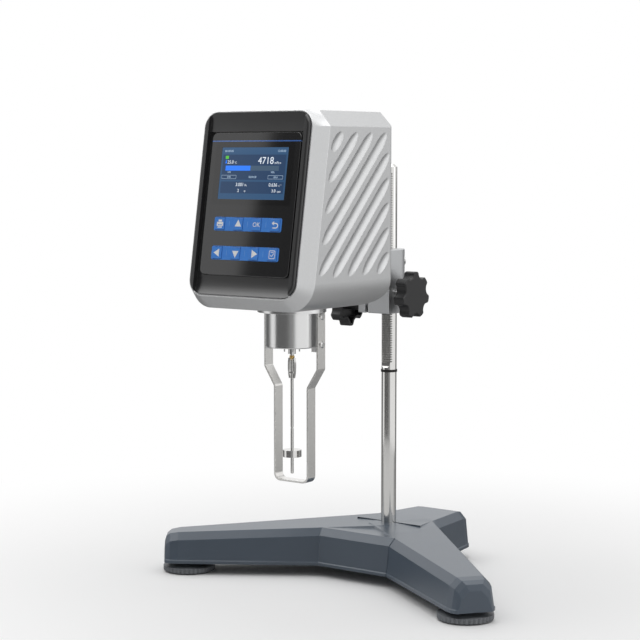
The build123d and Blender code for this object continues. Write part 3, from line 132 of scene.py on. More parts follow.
class Finish:
    """Shader nodes of a material or of the world around the object."""

    def __init__(self, name, owner=None, where="Object"):
        self.material = owner or bpy.data.materials.new(name)
        self.material.use_nodes = True
        self.tree = self.material.node_tree
        self.tree.nodes.clear()
        self.place = self.node("ShaderNodeTexCoord", output=where)

    def feed(self, socket, value):
        """Links a wire to a socket, or sets the socket's own value."""
        if isinstance(value, Wire):
            self.tree.links.new(value.socket, socket)
        elif socket.type == "RGBA" and len(value) == 3:
            socket.default_value = (*value, 1.0)
        else:
            socket.default_value = value

    def node(self, kind, settings=None, sockets=None, output=0):
        """Adds a node, sets it, feeds its sockets, and gives back one of its outputs."""
        made = self.tree.nodes.new(kind)
        for name, value in (settings or {}).items():
            setattr(made, name, value)
        for name, value in (sockets or {}).items():
            self.feed(made.inputs[name], value)
        return Wire(self, made.outputs[output])

    def axes(self, vector=None):
        """The three parts of a vector, in metres."""
        split = self.tree.nodes.new("ShaderNodeSeparateXYZ")
        self.feed(split.inputs[0], vector or self.place)
        return [Wire(self, out) for out in split.outputs]

    def grain(self, size, stretch=(1, 1, 1), detail=2.0, rough=0.5):
        """Noise with grains of a size in millimetres, drawn out along the three axes by stretch."""
        scale = [1 / (size * MM * share) for share in stretch]
        where = self.node("ShaderNodeMapping", None, {"Vector": self.place, "Scale": scale})
        return self.node(
            "ShaderNodeTexNoise", None, {"Vector": where, "Scale": 1.0, "Detail": detail, "Roughness": rough},
        )

    def span(self, value, low, high, to_low=0.0, to_high=1.0):
        """Smoothly takes low to to_low and high to to_high."""
        return self.node(
            "ShaderNodeMapRange", {"interpolation_type": "SMOOTHSTEP"},
            {"Value": value, "From Min": low, "From Max": high, "To Min": to_low, "To Max": to_high},
        )

    def mix(self, share, first, second):
        """A colour between two colours."""
        return self.node("ShaderNodeMix", {"data_type": "RGBA"}, {0: share, 6: first, 7: second}, output=2)

    def soft_edges(self, radius, least=0.02, most=0.16):
        """The normal with edges rounded to a radius, and how near an edge is, from 0 to 1."""
        rounded = self.node("ShaderNodeBevel", {"samples": 4}, {"Radius": radius * MM})
        flat = self.node("ShaderNodeNewGeometry", output="Normal")
        return rounded, self.span(1 - self.toward(flat, rounded), least, most)

    def bump(self, height, depth, normal=None):
        """A normal bent by a height from 0 to 1 that stands for a depth in millimetres."""
        sockets = {"Height": height, "Distance": depth * MM, "Strength": 1.0}
        if normal:
            sockets["Normal"] = normal
        return self.node("ShaderNodeBump", None, sockets)

    def toward(self, direction, vector=None):
        """How far a vector, or the place, reaches along a direction."""
        sockets = {0: vector or self.place, 1: direction}
        return self.node("ShaderNodeVectorMath", {"operation": "DOT_PRODUCT"}, sockets, "Value")

    def satin(self, **sockets):
        """A Principled shader; an underscore in a name stands for a space."""
        spaced = {name.replace("_", " "): value for name, value in sockets.items()}
        return self.node("ShaderNodeBsdfPrincipled", None, spaced)

    def end(self, surface, kind="ShaderNodeOutputMaterial"):
        """Ends the tree in a surface."""
        self.feed(self.tree.nodes.new(kind).inputs["Surface"], surface)
        return self.material

    def shade(self, **sockets):
        """Ends the material in one Principled shader."""
        return self.end(self.satin(**sockets))


def scaled(colour, share):
    """A colour made darker or lighter, no part of it past 1."""
    return tuple(min(1.0, part * share) for part in colour)


def enamel(name, colour, hub):
    """Satin enamel sprayed on a casting: fine orange peel, slow cloudiness, paler along the edges, partly edge
    wear and partly a painted highlight.

    It lies level and plain round the hub, a place in metres.
    """
    f = Finish(name)
    peel = f.grain(0.9, detail=3)
    cloud = f.grain(45, detail=2)
    rounded, edge = f.soft_edges(1.0)
    off_hub = f.node("ShaderNodeVectorMath", {"operation": "DISTANCE"}, {0: f.place, 1: hub}, "Value")
    outside = f.span(off_hub, *hub_blend_m)
    edge = edge * outside
    normal = f.mix(outside, (0, 0, 1), rounded)
    body = f.mix(cloud, scaled(colour, 0.93), scaled(colour, 1.07))
    return f.shade(
        # edges painted paler: partly wear, partly a painted highlight
        Base_Color=f.mix(edge * 0.4, body, scaled(colour, 2.2)),
        Roughness=0.30 + 0.10 * peel + 0.05 * cloud,
        Normal=f.bump(peel, 0.02, normal),
        Coat_Weight=0.35,
        Coat_Roughness=0.22,
    )


def metal(name, colour, rough, grain=0.12, stretch=(1, 1, 1), depth=0.004, edges=0.3, bright=0.35):
    """Metal with a grain drawn out along an axis, slow blotches in its sheen and edges brightened by a painted
    highlight.
    """
    f = Finish(name)
    lines = f.grain(grain, stretch, detail=3, rough=0.65)
    slow = f.grain(30, detail=2)
    normal, edge = f.soft_edges(edges)
    body = f.mix(f.span(lines, 0.25, 0.75), scaled(colour, 0.90), scaled(colour, 1.06))
    return f.shade(
        # painted highlight: edges mixed towards a brighter colour by the share bright
        Base_Color=f.mix(edge * bright, body, scaled(colour, 1.45)),
        Metallic=1.0,
        Roughness=(rough - 0.06) + 0.10 * lines + 0.04 * slow,
        Normal=f.bump(lines, depth, normal),
    )


def brushed_silver(colour):
    """Satin silver coat, brushed upright on the sides and level on the top, with a painted highlight on the edges
    that face up and to the front.
    """
    f = Finish("brushed_silver")
    upward = f.axes(f.node("ShaderNodeNewGeometry", output="Normal"))[2]
    upright = f.grain(0.16, (1, 1, 16), detail=3, rough=0.7)
    level = f.grain(0.16, (16, 16, 1), detail=3, rough=0.7)
    lines = upright + (level - upright) * f.span(abs(upward), 0.45, 0.6)
    slow = f.grain(60, detail=2)
    normal, edge = f.soft_edges(1.3, 0.02, 0.12)
    # painted highlight: only edges facing up and to the front, where the light falls, are brightened
    facing_up = f.span(f.toward((0, -0.707, 0.707), normal), 0.1, 0.4)
    body = f.mix(f.span(lines, 0.25, 0.75), scaled(colour, 0.88), scaled(colour, 1.06))
    return f.shade(
        # edges painted nearly white: a painted highlight
        Base_Color=f.mix(edge * facing_up * 0.9, body, (1, 1, 1)),
        Metallic=1.0,
        Roughness=0.33 + 0.10 * lines + 0.04 * slow,
        Normal=f.bump(lines, 0.006, normal),
    )


def turned_metal(name, colour, rough, pitch=0.25, depth=0.006):
    """Metal turned on a lathe about a standing axis: even tool lines one above the other."""
    f = Finish(name)
    height = f.axes()[2]
    wander = f.grain(6, (1, 1, 0.2), detail=2)
    groove = (height * (2 * math.pi / (pitch * MM)) + 4.0 * wander).sine() * 0.5 + 0.5
    fine = f.grain(0.15, (12, 12, 0.4), detail=2)
    normal, edge = f.soft_edges(0.3)
    body = f.mix(fine, scaled(colour, 0.88), scaled(colour, 1.06))
    return f.shade(
        # painted highlight: edges mixed towards a brighter colour
        Base_Color=f.mix(edge * 0.3, body, scaled(colour, 1.4)),
        Metallic=1.0,
        Roughness=(rough - 0.05) + 0.06 * groove + 0.06 * fine,
        Normal=f.bump(groove * 0.6 + fine * 0.4, depth, normal),
    )


def moulded(name, colour, rough, grain=0.35, depth=0.02, edges=0.4, pale=0.25, coat=0.0):
    """Moulded plastic or rubber with a fine spark texture, a little paler along its edges, partly rubbed wear and
    partly a painted highlight.
    """
    f = Finish(name)
    spark = f.grain(grain, detail=2, rough=0.6)
    cloud = f.grain(18, detail=2)
    normal, edge = f.soft_edges(edges)
    body = f.mix(cloud, scaled(colour, 0.9), scaled(colour, 1.12))
    return f.shade(
        # edges painted paler by the share pale: partly wear, partly a painted highlight
        Base_Color=f.mix(edge * pale, body, tuple(part + 0.05 for part in colour)),
        Roughness=(rough - 0.05) + 0.12 * spark + 0.04 * cloud,
        Normal=f.bump(spark, depth, normal),
        Coat_Weight=coat,
        Coat_Roughness=0.2,
    )


def along_panel(f):
    """Millimetres across and up the front panel from the middle of the glass."""
    middle_m = panel.translation
    reach = f.node("ShaderNodeVectorMath", {"operation": "SUBTRACT"}, {0: f.place, 1: middle_m})
    return [f.toward(direction, reach) / MM for direction in (X_AXIS, up_panel)]


def inside(f, value, low, high, blur=0.12):
    """1 between two edges and 0 outside them."""
    return f.span(value, low - blur, low + blur) * f.span(value, high - blur, high + blur, 1.0, 0.0)


def panel_glass():
    """Black-backed glossy panel, with the blue rule across its top and a printed border round the window."""
    f = Finish("panel_glass")
    across, up = along_panel(f)
    rule = inside(f, up, rule_up - 0.55, rule_up + 0.55)
    smear = f.grain(14, (1, 1, 2.5), detail=4, rough=0.6)
    dust = f.grain(0.25, detail=1)
    window = inside(f, abs(across), -1, screen_high.x + 1.6) * inside(
        f, up, screen_low.y - 1.6, screen_high.y + 1.6)
    black = f.mix(window, (0.014, 0.014, 0.015), (0.006, 0.006, 0.007))
    normal, edge = f.soft_edges(0.35)
    return f.shade(
        # painted highlight: the glass's edges are mixed towards grey
        Base_Color=f.mix(rule, f.mix(edge * 0.5, black, (0.07, 0.07, 0.075)), (0.07, 0.19, 0.58)),
        Roughness=0.02 + 0.03 * smear + 0.02 * dust,
        Normal=f.bump(smear, 0.002, normal),
        Coat_Weight=0.6,
        Coat_Roughness=0.03,
    )


def lit_screen():
    """Colour display: blue ground, two darker fields with round corners, fine rows of picture points."""
    f = Finish("screen")
    across, up = along_panel(f)
    across = across - (screen_low.x + screen_high.x) / 2
    up = up - screen_mid_y
    fields = 0.0
    for low, high in screen_fields:
        fields = fields + inside(f, abs(across), -1, field_half) * inside(f, up, low, high)
    heading = f.span(up, screen_half_tall - 9, screen_half_tall)
    rows = (up * (2 * math.pi / picture_point)).sine() * 0.5 + 0.5
    columns = (across * (2 * math.pi / picture_point)).sine() * 0.5 + 0.5
    ground = f.mix(heading, (0.020, 0.075, 0.170), (0.026, 0.085, 0.185))
    shown = f.mix(fields, ground, (0.008, 0.036, 0.098))
    points = f.mix(0.10 * rows + 0.10 * columns, shown, (0.05, 0.11, 0.22))
    return f.shade(
        Base_Color=(0.004, 0.006, 0.010),
        Emission_Color=points,
        Emission_Strength=1.0,
        Roughness=0.12 + 0.02 * rows,
    )


def lit_print(name, colour):
    """Part of the picture on the display."""
    f = Finish(name)
    height = f.axes()[2]
    rows = (height * (2 * math.pi / (picture_point * MM))).sine() * 0.5 + 0.5
    return f.shade(
        Base_Color=scaled(colour, 0.1),
        Emission_Color=f.mix(rows * 0.14, colour, scaled(colour, 0.7)),
        Emission_Strength=1.0,
        Roughness=0.15 + 0.03 * rows,
    )


def key_cap():
    """Blue moulded keys, satin, with a faint flow of the colour."""
    f = Finish("key_blue")
    spark = f.grain(0.2, detail=2)
    flow = f.grain(9, (2.5, 1, 1), detail=2)
    normal, edge = f.soft_edges(0.25)
    body = f.mix(flow, (0.040, 0.235, 0.760), (0.052, 0.275, 0.840))
    return f.shade(
        # painted highlight: key edges are mixed towards a paler blue
        Base_Color=f.mix(edge * 0.55, body, (0.16, 0.36, 0.85)),
        Roughness=0.30 + 0.10 * spark,
        Normal=f.bump(spark, 0.008, normal),
        Coat_Weight=0.25,
        Coat_Roughness=0.15,
    )


def ink(name, colour, rough=0.45):
    """Screen-printed ink with slight mottling."""
    f = Finish(name)
    mottle = f.grain(0.3, detail=2)
    return f.shade(
        Base_Color=f.mix(mottle, scaled(colour, 0.92), colour),
        Roughness=rough - 0.05 + 0.1 * mottle,
        Normal=f.bump(mottle, 0.005),
    )


def board():
    """Printed circuit board: green lacquer over copper tracks and tinned pads."""
    f = Finish("board_green")
    cells = f.node(
        "ShaderNodeTexVoronoi", {"feature": "DISTANCE_TO_EDGE"},
        {"Vector": f.place, "Scale": 1 / (4.5 * MM)},
    )
    track = f.span(cells, 0.06, 0.10, 1.0, 0.0)
    pads = f.span(f.grain(2.2, detail=0), 0.68, 0.70)
    lacquer = f.mix(track, (0.010, 0.085, 0.030), (0.030, 0.190, 0.060))
    return f.shade(
        Base_Color=f.mix(pads, lacquer, (0.62, 0.60, 0.52)),
        Metallic=pads * 0.9,
        Roughness=0.28 + 0.15 * track,
        Normal=f.bump(track * 0.5 + pads * 0.5, 0.03),
    )


def level_fluid():
    """Green fluid seen through the level's clear cap, paler towards the middle."""
    f = Finish("level_green")
    vial_middle = sum(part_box("level_vial"), Vector()) / 2
    reach = f.node("ShaderNodeVectorMath", {"operation": "DISTANCE"}, {0: f.place, 1: vial_middle}, "Value")
    depth = f.span(reach, 0.0, 9 * MM)
    swirl = f.grain(3, detail=2)
    return f.shade(
        Base_Color=f.mix(depth, (0.48, 0.78, 0.10), (0.24, 0.52, 0.03)),
        Roughness=0.06 + 0.04 * swirl,
        Coat_Weight=1.0,
        Coat_Roughness=0.03,
    )


# ------------------------------------------------------------------ sizes on the front
rule_up = 60.6              # the blue rule, above the middle of the glass
picture_point = 0.42
screen_mid_y = (screen_low.y + screen_high.y) / 2
screen_half_tall = 25.0
field_half = 38.4
screen_fields = ((-6.3, 18.1), (-19.4, -8.0))

# middle of the casting's top, where the column stands
column_middle = sum(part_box("column"), Vector()) / 2
hub_top = (column_middle.x, column_middle.y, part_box("base_casting")[1].z)
hub_blend_m = (0.042, 0.054)    # reach in which the plain top gives way to the casting's own planes

finish_of_slot = {
    "base_paint": enamel("casting_enamel", (0.072, 0.096, 0.128), hub_top),
    "stainless": metal(
        "polished_steel", (0.72, 0.715, 0.70), 0.09,
        grain=0.10, stretch=(6, 6, 0.5), depth=0.001, edges=0.25, bright=0.3),
    "turned_steel": turned_metal("turned_steel", (0.72, 0.72, 0.72), 0.20),
    "black_rubber": moulded("black_rubber", (0.018, 0.018, 0.018), 0.72, grain=0.5, depth=0.03),
    # the feet are given a paler grey than their plastic's own: painted light making up for the base's shadow over
    # them
    "foot_plastic": moulded(
        "foot_plastic", (0.19, 0.20, 0.215), 0.52, grain=0.4, depth=0.03, edges=0.35, pale=0.5),
    "bracket_metal": metal(
        "blasted_aluminium", (0.60, 0.61, 0.62), 0.42, grain=0.3, depth=0.012, edges=0.5, bright=0.3),
    "head_paint": brushed_silver((0.60, 0.605, 0.61)),
    "bezel_black": moulded(
        "bezel_black", (0.024, 0.024, 0.025), 0.28,
        grain=0.25, depth=0.004, edges=0.6, pale=0.3, coat=0.5),
    "panel_glass": panel_glass(),
    "screen": lit_screen(),
    "key_blue": key_cap(),
    "knob_black": moulded("knob_black", (0.016, 0.016, 0.017), 0.40, depth=0.03, edges=0.7, pale=0.35),
    "screw_steel": metal(
        "bright_plate", (0.72, 0.72, 0.71), 0.14, grain=0.2, depth=0.001, edges=0.2, bright=0.3),
    "board_green": board(),
    "inner_metal": metal(
        "milled_aluminium", (0.55, 0.56, 0.57), 0.36, grain=0.2, stretch=(10, 1, 1), depth=0.01),
    "panel_metal": moulded(
        "powder_coat", (0.030, 0.031, 0.033), 0.55, grain=0.5, depth=0.05, edges=0.3, pale=0.3),
    "brass": metal(
        "turned_brass", (0.62, 0.42, 0.16), 0.24, stretch=(8, 8, 0.6), edges=0.2, bright=0.3),
    "spring_steel": metal("blued_spring", (0.20, 0.24, 0.36), 0.24, stretch=(8, 8, 0.6), depth=0.002),
    "socket_black": moulded(
        "socket_black", (0.020, 0.020, 0.021), 0.46, grain=0.3, depth=0.01, edges=0.2, pale=0.2),
    "level_green": level_fluid(),
}
for part in frame["record"]["subparts"]:
    node = nodes[part["node"]]
    node.data.materials.clear()
    node.data.materials.append(finish_of_slot[part["material_slot"]])
# the guard strip gets a strong painted highlight on its edges (bright 0.8)
nodes["spindle_guard"].data.materials[0] = metal(
    "drawn_strip", (0.80, 0.79, 0.77), 0.22, stretch=(1, 1, 12), depth=0.003, bright=0.8)

pale_blue = ink("pale_blue", (0.16, 0.42, 0.92), 0.35)
white_ink = ink("white_ink", (1.0, 1.0, 1.0))
# near black: painted shade for the port's contact holes, and the ink of the level's ring mark
hole_shade_and_ring_ink = moulded("hole_shade_and_ring_mark", (0.006, 0.006, 0.006), 0.6, grain=0.2, depth=0.005)
bubble_green = moulded(
    "bubble", (0.60, 0.86, 0.32), 0.1, grain=0.5, depth=0.002, edges=0.1, pale=0.1, coat=1.0)
lit_white = lit_print("lit_white", (0.80, 0.87, 0.95))
lit_pale = lit_print("lit_pale", (0.42, 0.56, 0.72))
lit_blue = lit_print("lit_blue", (0.022, 0.205, 0.960))
lit_grey = lit_print("lit_grey", (0.050, 0.095, 0.155))
lit_green = lit_print("lit_green", (0.10, 0.52, 0.045))


# ------------------------------------------------------------------ flat shapes and figures
def to_piece(name, mesh, material, body):
    """A named piece with its place in its mesh, riding on a body."""
    mesh.name = name
    mesh.materials.clear()
    mesh.materials.append(material)
    piece = bpy.data.objects.new(name, mesh)
    bpy.context.scene.collection.objects.link(piece)
    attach(piece, body)
    return piece


def mesh_of(data):
    """The mesh of a curve or text, made plain."""
    carrier = bpy.data.objects.new("carrier", data)
    bpy.context.scene.collection.objects.link(carrier)
    depsgraph = bpy.context.evaluated_depsgraph_get()
    mesh = bpy.data.meshes.new_from_object(carrier.evaluated_get(depsgraph), depsgraph=depsgraph)
    bpy.data.objects.remove(carrier)
    return mesh


def text_mesh(words, side):
    """Lettering of size 1."""
    text = bpy.data.curves.new("lettering", "FONT")
    text.body = words
    text.align_x = side
    return mesh_of(text)


capital_share = max(vertex.co.y for vertex in text_mesh("0", "LEFT").vertices)


def arc(centre, radius, start, end, steps=8):
    """Points along an arc, angles in degrees."""
    turns = [math.radians(start + (end - start) * n / steps) for n in range(steps + 1)]
    return [(centre[0] + radius * math.cos(t), centre[1] + radius * math.sin(t)) for t in turns]


def rounded(half_wide, half_tall, radius, middle_at=(0, 0)):
    """Outline of a rectangle with round corners."""
    points = []
    for quarter, (sx, sy) in enumerate(((1, 1), (-1, 1), (-1, -1), (1, -1))):
        corner = (middle_at[0] + sx * (half_wide - radius), middle_at[1] + sy * (half_tall - radius))
        points += arc(corner, radius, 90 * quarter, 90 * quarter + 90, 4)
    return points


def stroke(points, width):
    """Outline of a line of a width through points."""
    left, right = [], []
    for n, point in enumerate(points):
        before, after = points[max(n - 1, 0)], points[min(n + 1, len(points) - 1)]
        along = Vector((after[0] - before[0], after[1] - before[1])).normalized()
        side = Vector((-along.y, along.x)) * width / 2
        left.append((point[0] + side.x, point[1] + side.y))
        right.append((point[0] - side.x, point[1] - side.y))
    return left + right[::-1]


class Inlay:
    """Flat shapes and figures on one plane, gathered in one mesh."""

    def __init__(self, thick):
        self.thick = thick
        self.shapes = bmesh.new()

    def gather(self, mesh, at=(0, 0), size=1.0):
        """Takes in a mesh, moved and enlarged, and drops the original."""
        mesh.transform(Matrix.Translation((at[0], at[1], 0)) @ Matrix.Scale(size, 4))
        self.shapes.from_mesh(mesh)
        bpy.data.meshes.remove(mesh)
        return self

    def shape(self, *outlines, at=(0, 0)):
        """A filled outline; further outlines inside it are holes."""
        curve = bpy.data.curves.new("outline", "CURVE")
        curve.dimensions = "2D"
        curve.fill_mode = "FRONT"
        for outline in outlines:
            spline = curve.splines.new("POLY")
            spline.points.add(len(outline) - 1)
            for point, (x, y) in zip(spline.points, outline):
                point.co = (x, y, 0, 1)
            spline.use_cyclic_u = True
        return self.gather(mesh_of(curve), at)

    def words(self, words, x, y, tall, side="LEFT"):
        """Lettering whose capitals are tall and stand on y."""
        return self.gather(text_mesh(words, side), (x, y), tall / capital_share)

    def done(self, name, place, at, material, body, slot_name=None):
        """The shapes as a thin piece at a point of a place."""
        bmesh.ops.remove_doubles(self.shapes, verts=self.shapes.verts, dist=1e-5)
        top = list(self.shapes.faces)
        for face in top:
            if face.normal.z < 0:
                face.normal_flip()
        grown = bmesh.ops.extrude_face_region(self.shapes, geom=top)
        lifted = [item for item in grown["geom"] if isinstance(item, bmesh.types.BMVert)]
        bmesh.ops.translate(self.shapes, verts=lifted, vec=(0, 0, self.thick))
        bmesh.ops.reverse_faces(self.shapes, faces=top)
        mesh = bpy.data.meshes.new(name)
        self.shapes.to_mesh(mesh)
        self.shapes.free()
        mesh.transform(place @ Matrix.Translation(at))
        return to_piece(name, mesh, material, body)


# ------------------------------------------------------------------ what the screen shows
screen_at = Vector((0, screen_mid_y, screen_high.z))
film = 0.03

white = Inlay(film)
white.words("4718", 24.0, 9.2, 6.6, "RIGHT")
white.words("mPa·s", 25.0, 9.2, 2.3)
white.words("25.0", -32.6, 9.4, 3.1)
white.words("°C", -24.0, 9.4, 1.9)
white.words("3.001", -20.0, -12.4, 3.2)
white.words("Pa", -8.8, -12.4, 2.0)
white.words("0.636", 20.5, -12.4, 3.2)
white.words("s⁻¹", 32.4, -12.4, 2.0)
white.words("2", -17.0, -18.0, 2.9)
white.words("#", -8.8, -18.0, 1.9)
white.words("3.0", 24.3, -18.0, 2.9)
white.words("rpm", 31.0, -18.0, 1.9)
white.done("screen_figures", panel, screen_at, lit_white, "head", "screen")

pale = Inlay(film)
pale.words("00-00-00", -36.8, 20.6, 2.0)
pale.words("12:00:00", 37.4, 20.6, 2.0, "RIGHT")
pale.words("10%", -29.4, 0.2, 1.8, "CENTER")
pale.words("90%", 23.8, 0.2, 1.8, "CENTER")
pale.words("00:04:00", 0.0, -4.4, 1.9, "CENTER")
for middle_x in (-29.0, 27.6):
    pale.shape(rounded(9.0, 1.8, 0.6, (middle_x, -3.6)), rounded(8.75, 1.55, 0.4, (middle_x, -3.6)))
pale.words("0.00", -29.0, -4.4, 1.7, "CENTER")
pale.words("100.0", 27.6, -4.4, 1.7, "CENTER")
pale.done("screen_small_figures", panel, screen_at, lit_pale, "head", "screen")

bar_left, bar_right, bar_low, bar_high = -34.2, 30.8, 2.6, 7.4
bar_share = 0.47
bar_end = bar_left + bar_share * (bar_right - bar_left)


def field(left, right, low, high):
    """Outline of a rectangle by its sides."""
    return [(left, low), (right, low), (right, high), (left, high)]


blue = Inlay(film)
blue.shape(field(bar_left, bar_end, bar_low, bar_high))
blue.shape(rounded(0.55, 1.4, 0.5, (-34.2, 11.6)))
blue.shape(arc((-34.2, 10.3), 0.95, 0, 360, 16)[:-1])
blue.done("screen_bar", panel, screen_at, lit_blue, "head", "screen")
Inlay(film).shape(field(bar_end, bar_right, bar_low, bar_high)).done(
    "screen_bar_rest", panel, screen_at, lit_grey, "head", "screen")
Inlay(film).shape(rounded(1.9, 1.5, 0.3, (-33.4, 15.4))).done(
    "screen_mark", panel, screen_at, lit_green, "head", "screen")


# ------------------------------------------------------------------ signs on the keys
def triangle(turn):
    """Solid arrow head pointing along a turn in degrees."""
    return arc((0, 0), 4.5, turn, turn + 240, 2)


def sign(key, inlay):
    """Puts an inlay on the middle of a key."""
    at = Vector((key_middles[key].x, key_middles[key].y, key_face))
    inlay.done(key + "_sign", panel, at, white_ink, key, "key_blue")


for key, turn in (("key_up", 90), ("key_left", 180), ("key_down", 270), ("key_right", 0)):
    sign(key, Inlay(film).shape(triangle(turn)))
sign("key_ok", Inlay(film).words("OK", 0, -2.1, 4.2, "CENTER"))

back_arrow = Inlay(film)
back_arrow.shape(stroke([(-1.6, 1.7), (1.2, 1.7), *arc((1.2, -0.5), 2.2, 90, -90, 10), (-2.6, -2.7)], 1.0))
back_arrow.shape([(-3.9, 1.7), (-1.2, 3.7), (-1.2, -0.3)])
sign("key_return", back_arrow)

printer = Inlay(film)
printer.shape(rounded(2.1, 0.95, 0.2, (0, 3.0)))
printer.shape(rounded(3.9, 2.0, 0.5, (0, -0.3)), field(-2.6, 2.6, -1.5, -0.7))
printer.shape(field(-2.5, 2.5, -4.1, -2.7), field(-1.7, 1.7, -3.6, -3.2))
sign("key_print", printer)

checklist = Inlay(film)
checklist.shape(rounded(3.7, 4.0, 1.3), rounded(3.1, 3.4, 0.9))
checklist.shape(stroke([(-1.8, -0.5), (-0.4, -1.9), (2.0, 1.1)], 0.75))
checklist.shape(field(-1.8, 1.8, 1.9, 2.45))
sign("key_menu", checklist)


# ------------------------------------------------------------------ repeated pieces
class Pattern:
    """A Geometry Nodes tree with named sizes, run once and made a plain mesh."""

    def __init__(self, name):
        self.group = bpy.data.node_groups.new(name, "GeometryNodeTree")
        self.group.interface.new_socket("Geometry", in_out="OUTPUT", socket_type="NodeSocketGeometry")
        self.start = self.group.nodes.new("NodeGroupInput")
        self.end = self.group.nodes.new("NodeGroupOutput")
        self.sizes = {}

    def size(self, name, kind):
        """A named input of a kind such as Float, Int, Vector or Material."""
        socket = self.group.interface.new_socket(name, in_out="INPUT", socket_type="NodeSocket" + kind)
        self.sizes[name] = socket.identifier
        return next(out for out in self.start.outputs if out.identifier == socket.identifier)

    def node(self, kind, settings=None, sockets=None, output=0):
        """Adds a node, sets it, feeds its sockets, and gives back one of its outputs."""
        made = self.group.nodes.new(kind)
        for name, value in (settings or {}).items():
            setattr(made, name, value)
        for name, value in (sockets or {}).items():
            if isinstance(value, bpy.types.NodeSocket):
                self.group.links.new(value, made.inputs[name])
            else:
                made.inputs[name].default_value = value
        return made.outputs[output]

    def finish(self, instances, material):
        """Ends the tree: instances made real, with their material."""
        real = self.node("GeometryNodeRealizeInstances", None, {0: instances})
        coated = self.node("GeometryNodeSetMaterial", None, {"Geometry": real, "Material": material})
        self.group.links.new(coated, self.end.inputs[0])

    def mesh(self, material, **sizes):
        """The plain mesh that the tree makes of a material and some sizes."""
        carrier = bpy.data.objects.new("carrier", bpy.data.meshes.new("carrier"))
        bpy.context.scene.collection.objects.link(carrier)
        modifier = carrier.modifiers.new(self.group.name, "NODES")
        modifier.node_group = self.group
        for name, value in {"Finish": material, **sizes}.items():
            modifier[self.sizes[name]] = value
        depsgraph = bpy.context.evaluated_depsgraph_get()
        mesh = bpy.data.meshes.new_from_object(carrier.evaluated_get(depsgraph), depsgraph=depsgraph)
        carrier.modifiers.remove(modifier)
        bpy.data.objects.remove(carrier)
        return mesh


def row_of_pins():
    """Round-ended pins standing in a row, along x, about the middle of the row."""
    tree = Pattern("row_of_pins")
    count, pitch = tree.size("Count", "Int"), tree.size("Pitch", "Float")
    sides, shape = tree.size("Sides", "Int"), tree.size("Pin", "Vector")
    material = tree.size("Finish", "Material")
    step = tree.node("ShaderNodeCombineXYZ", None, {"X": pitch})
    line = tree.node("GeometryNodeMeshLine", {"mode": "OFFSET"}, {"Count": count, "Offset": step})
    run = tree.node("ShaderNodeMath", {"operation": "MULTIPLY_ADD"}, {0: count, 1: -0.5, 2: 0.5})
    back = tree.node("ShaderNodeVectorMath", {"operation": "SCALE"}, {0: step, "Scale": run})
    centred = tree.node("GeometryNodeTransform", None, {"Geometry": line, "Translation": back})
    pin = tree.node("GeometryNodeMeshCylinder", None, {"Vertices": sides, "Radius": 0.5, "Depth": 1.0})
    sized = tree.node("GeometryNodeTransform", None, {"Geometry": pin, "Scale": shape})
    placed = tree.node("GeometryNodeInstanceOnPoints", None, {"Points": centred, "Instance": sized})
    tree.finish(placed, material)
    return tree


def ring_of_ribs():
    """Ribs standing out from a ring about z, like a knurl."""
    tree = Pattern("ring_of_ribs")
    count, radius = tree.size("Count", "Int"), tree.size("Radius", "Float")
    shape, sides = tree.size("Rib", "Vector"), tree.size("Sides", "Int")
    material = tree.size("Finish", "Material")
    ring = tree.node("GeometryNodeMeshCircle", None, {"Vertices": count, "Radius": radius})
    place = tree.node("GeometryNodeInputPosition")
    facing = tree.node("FunctionNodeAlignEulerToVector", {"axis": "X", "pivot_axis": "Z"}, {"Vector": place})
    rib = tree.node("GeometryNodeMeshCylinder", None, {"Vertices": sides, "Radius": 0.5, "Depth": 1.0})
    sized = tree.node("GeometryNodeTransform", None, {"Geometry": rib, "Scale": shape})
    placed = tree.node(
        "GeometryNodeInstanceOnPoints", None, {"Points": ring, "Instance": sized, "Rotation": facing},
    )
    tree.finish(placed, material)
    return tree


pins = row_of_pins()
ribs = ring_of_ribs()


def repeated(name, tree, place, at, material, body, slot_name, **sizes):
    """A repeated piece at a point of a place."""
    mesh = tree.mesh(material, **sizes)
    mesh.transform(place @ Matrix.Translation(at))
    return to_piece(name, mesh, material, body)


# short bars between the keys of each strip
key_pitch = key_middles["key_up"].x - key_middles["key_print"].x
for strip, key in (("upper", "key_up"), ("lower", "key_down")):
    repeated(
        strip + "_strip_dividers", pins, panel, (0, key_middles[key].y, strip_face),
        pale_blue, "head", "key_blue",
        Count=3, Pitch=key_pitch, Sides=10, Pin=(0.55, 6.4, 0.3),
    )

# fine knurl round each levelling foot
foot_rim_tall = 5.0
upright = axes_matrix(X_AXIS, Y_AXIS, Z_AXIS)
for foot in ("front_left_foot", "front_right_foot", "rear_foot"):
    low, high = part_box(foot)
    reach = (high.x - low.x) / 2 / MM
    centre = (low + high) / 2
    rim_low, rim_high = low.z / MM, low.z / MM + foot_rim_tall
    repeated(
        foot + "_knurl", ribs, upright,
        (centre.x / MM, centre.y / MM, (rim_low + rim_high) / 2),
        finish_of_slot["foot_plastic"], foot, "foot_plastic",
        Count=108, Radius=reach - 0.35, Rib=(1.0, 0.9, 0.9 * (rim_high - rim_low)), Sides=6,
    )

# contact holes of the serial port, drawn as near-black discs on its face: painted shade where the holes are
rear_face = axes_matrix(-X_AXIS, Z_AXIS, Y_AXIS)
port_middle = middle("serial_port", rear_face)
port_face = extent("serial_port", rear_face)[1].z
for count, up in ((5, 1.42), (4, -1.42)):
    repeated(
        "serial_contacts_%d" % count, pins, rear_face,
        (port_middle.x, port_middle.y + up, port_face),
        hole_shade_and_ring_ink, "head", "screw_steel",
        Count=count, Pitch=2.77, Sides=14, Pin=(1.1, 1.1, 0.06),
    )

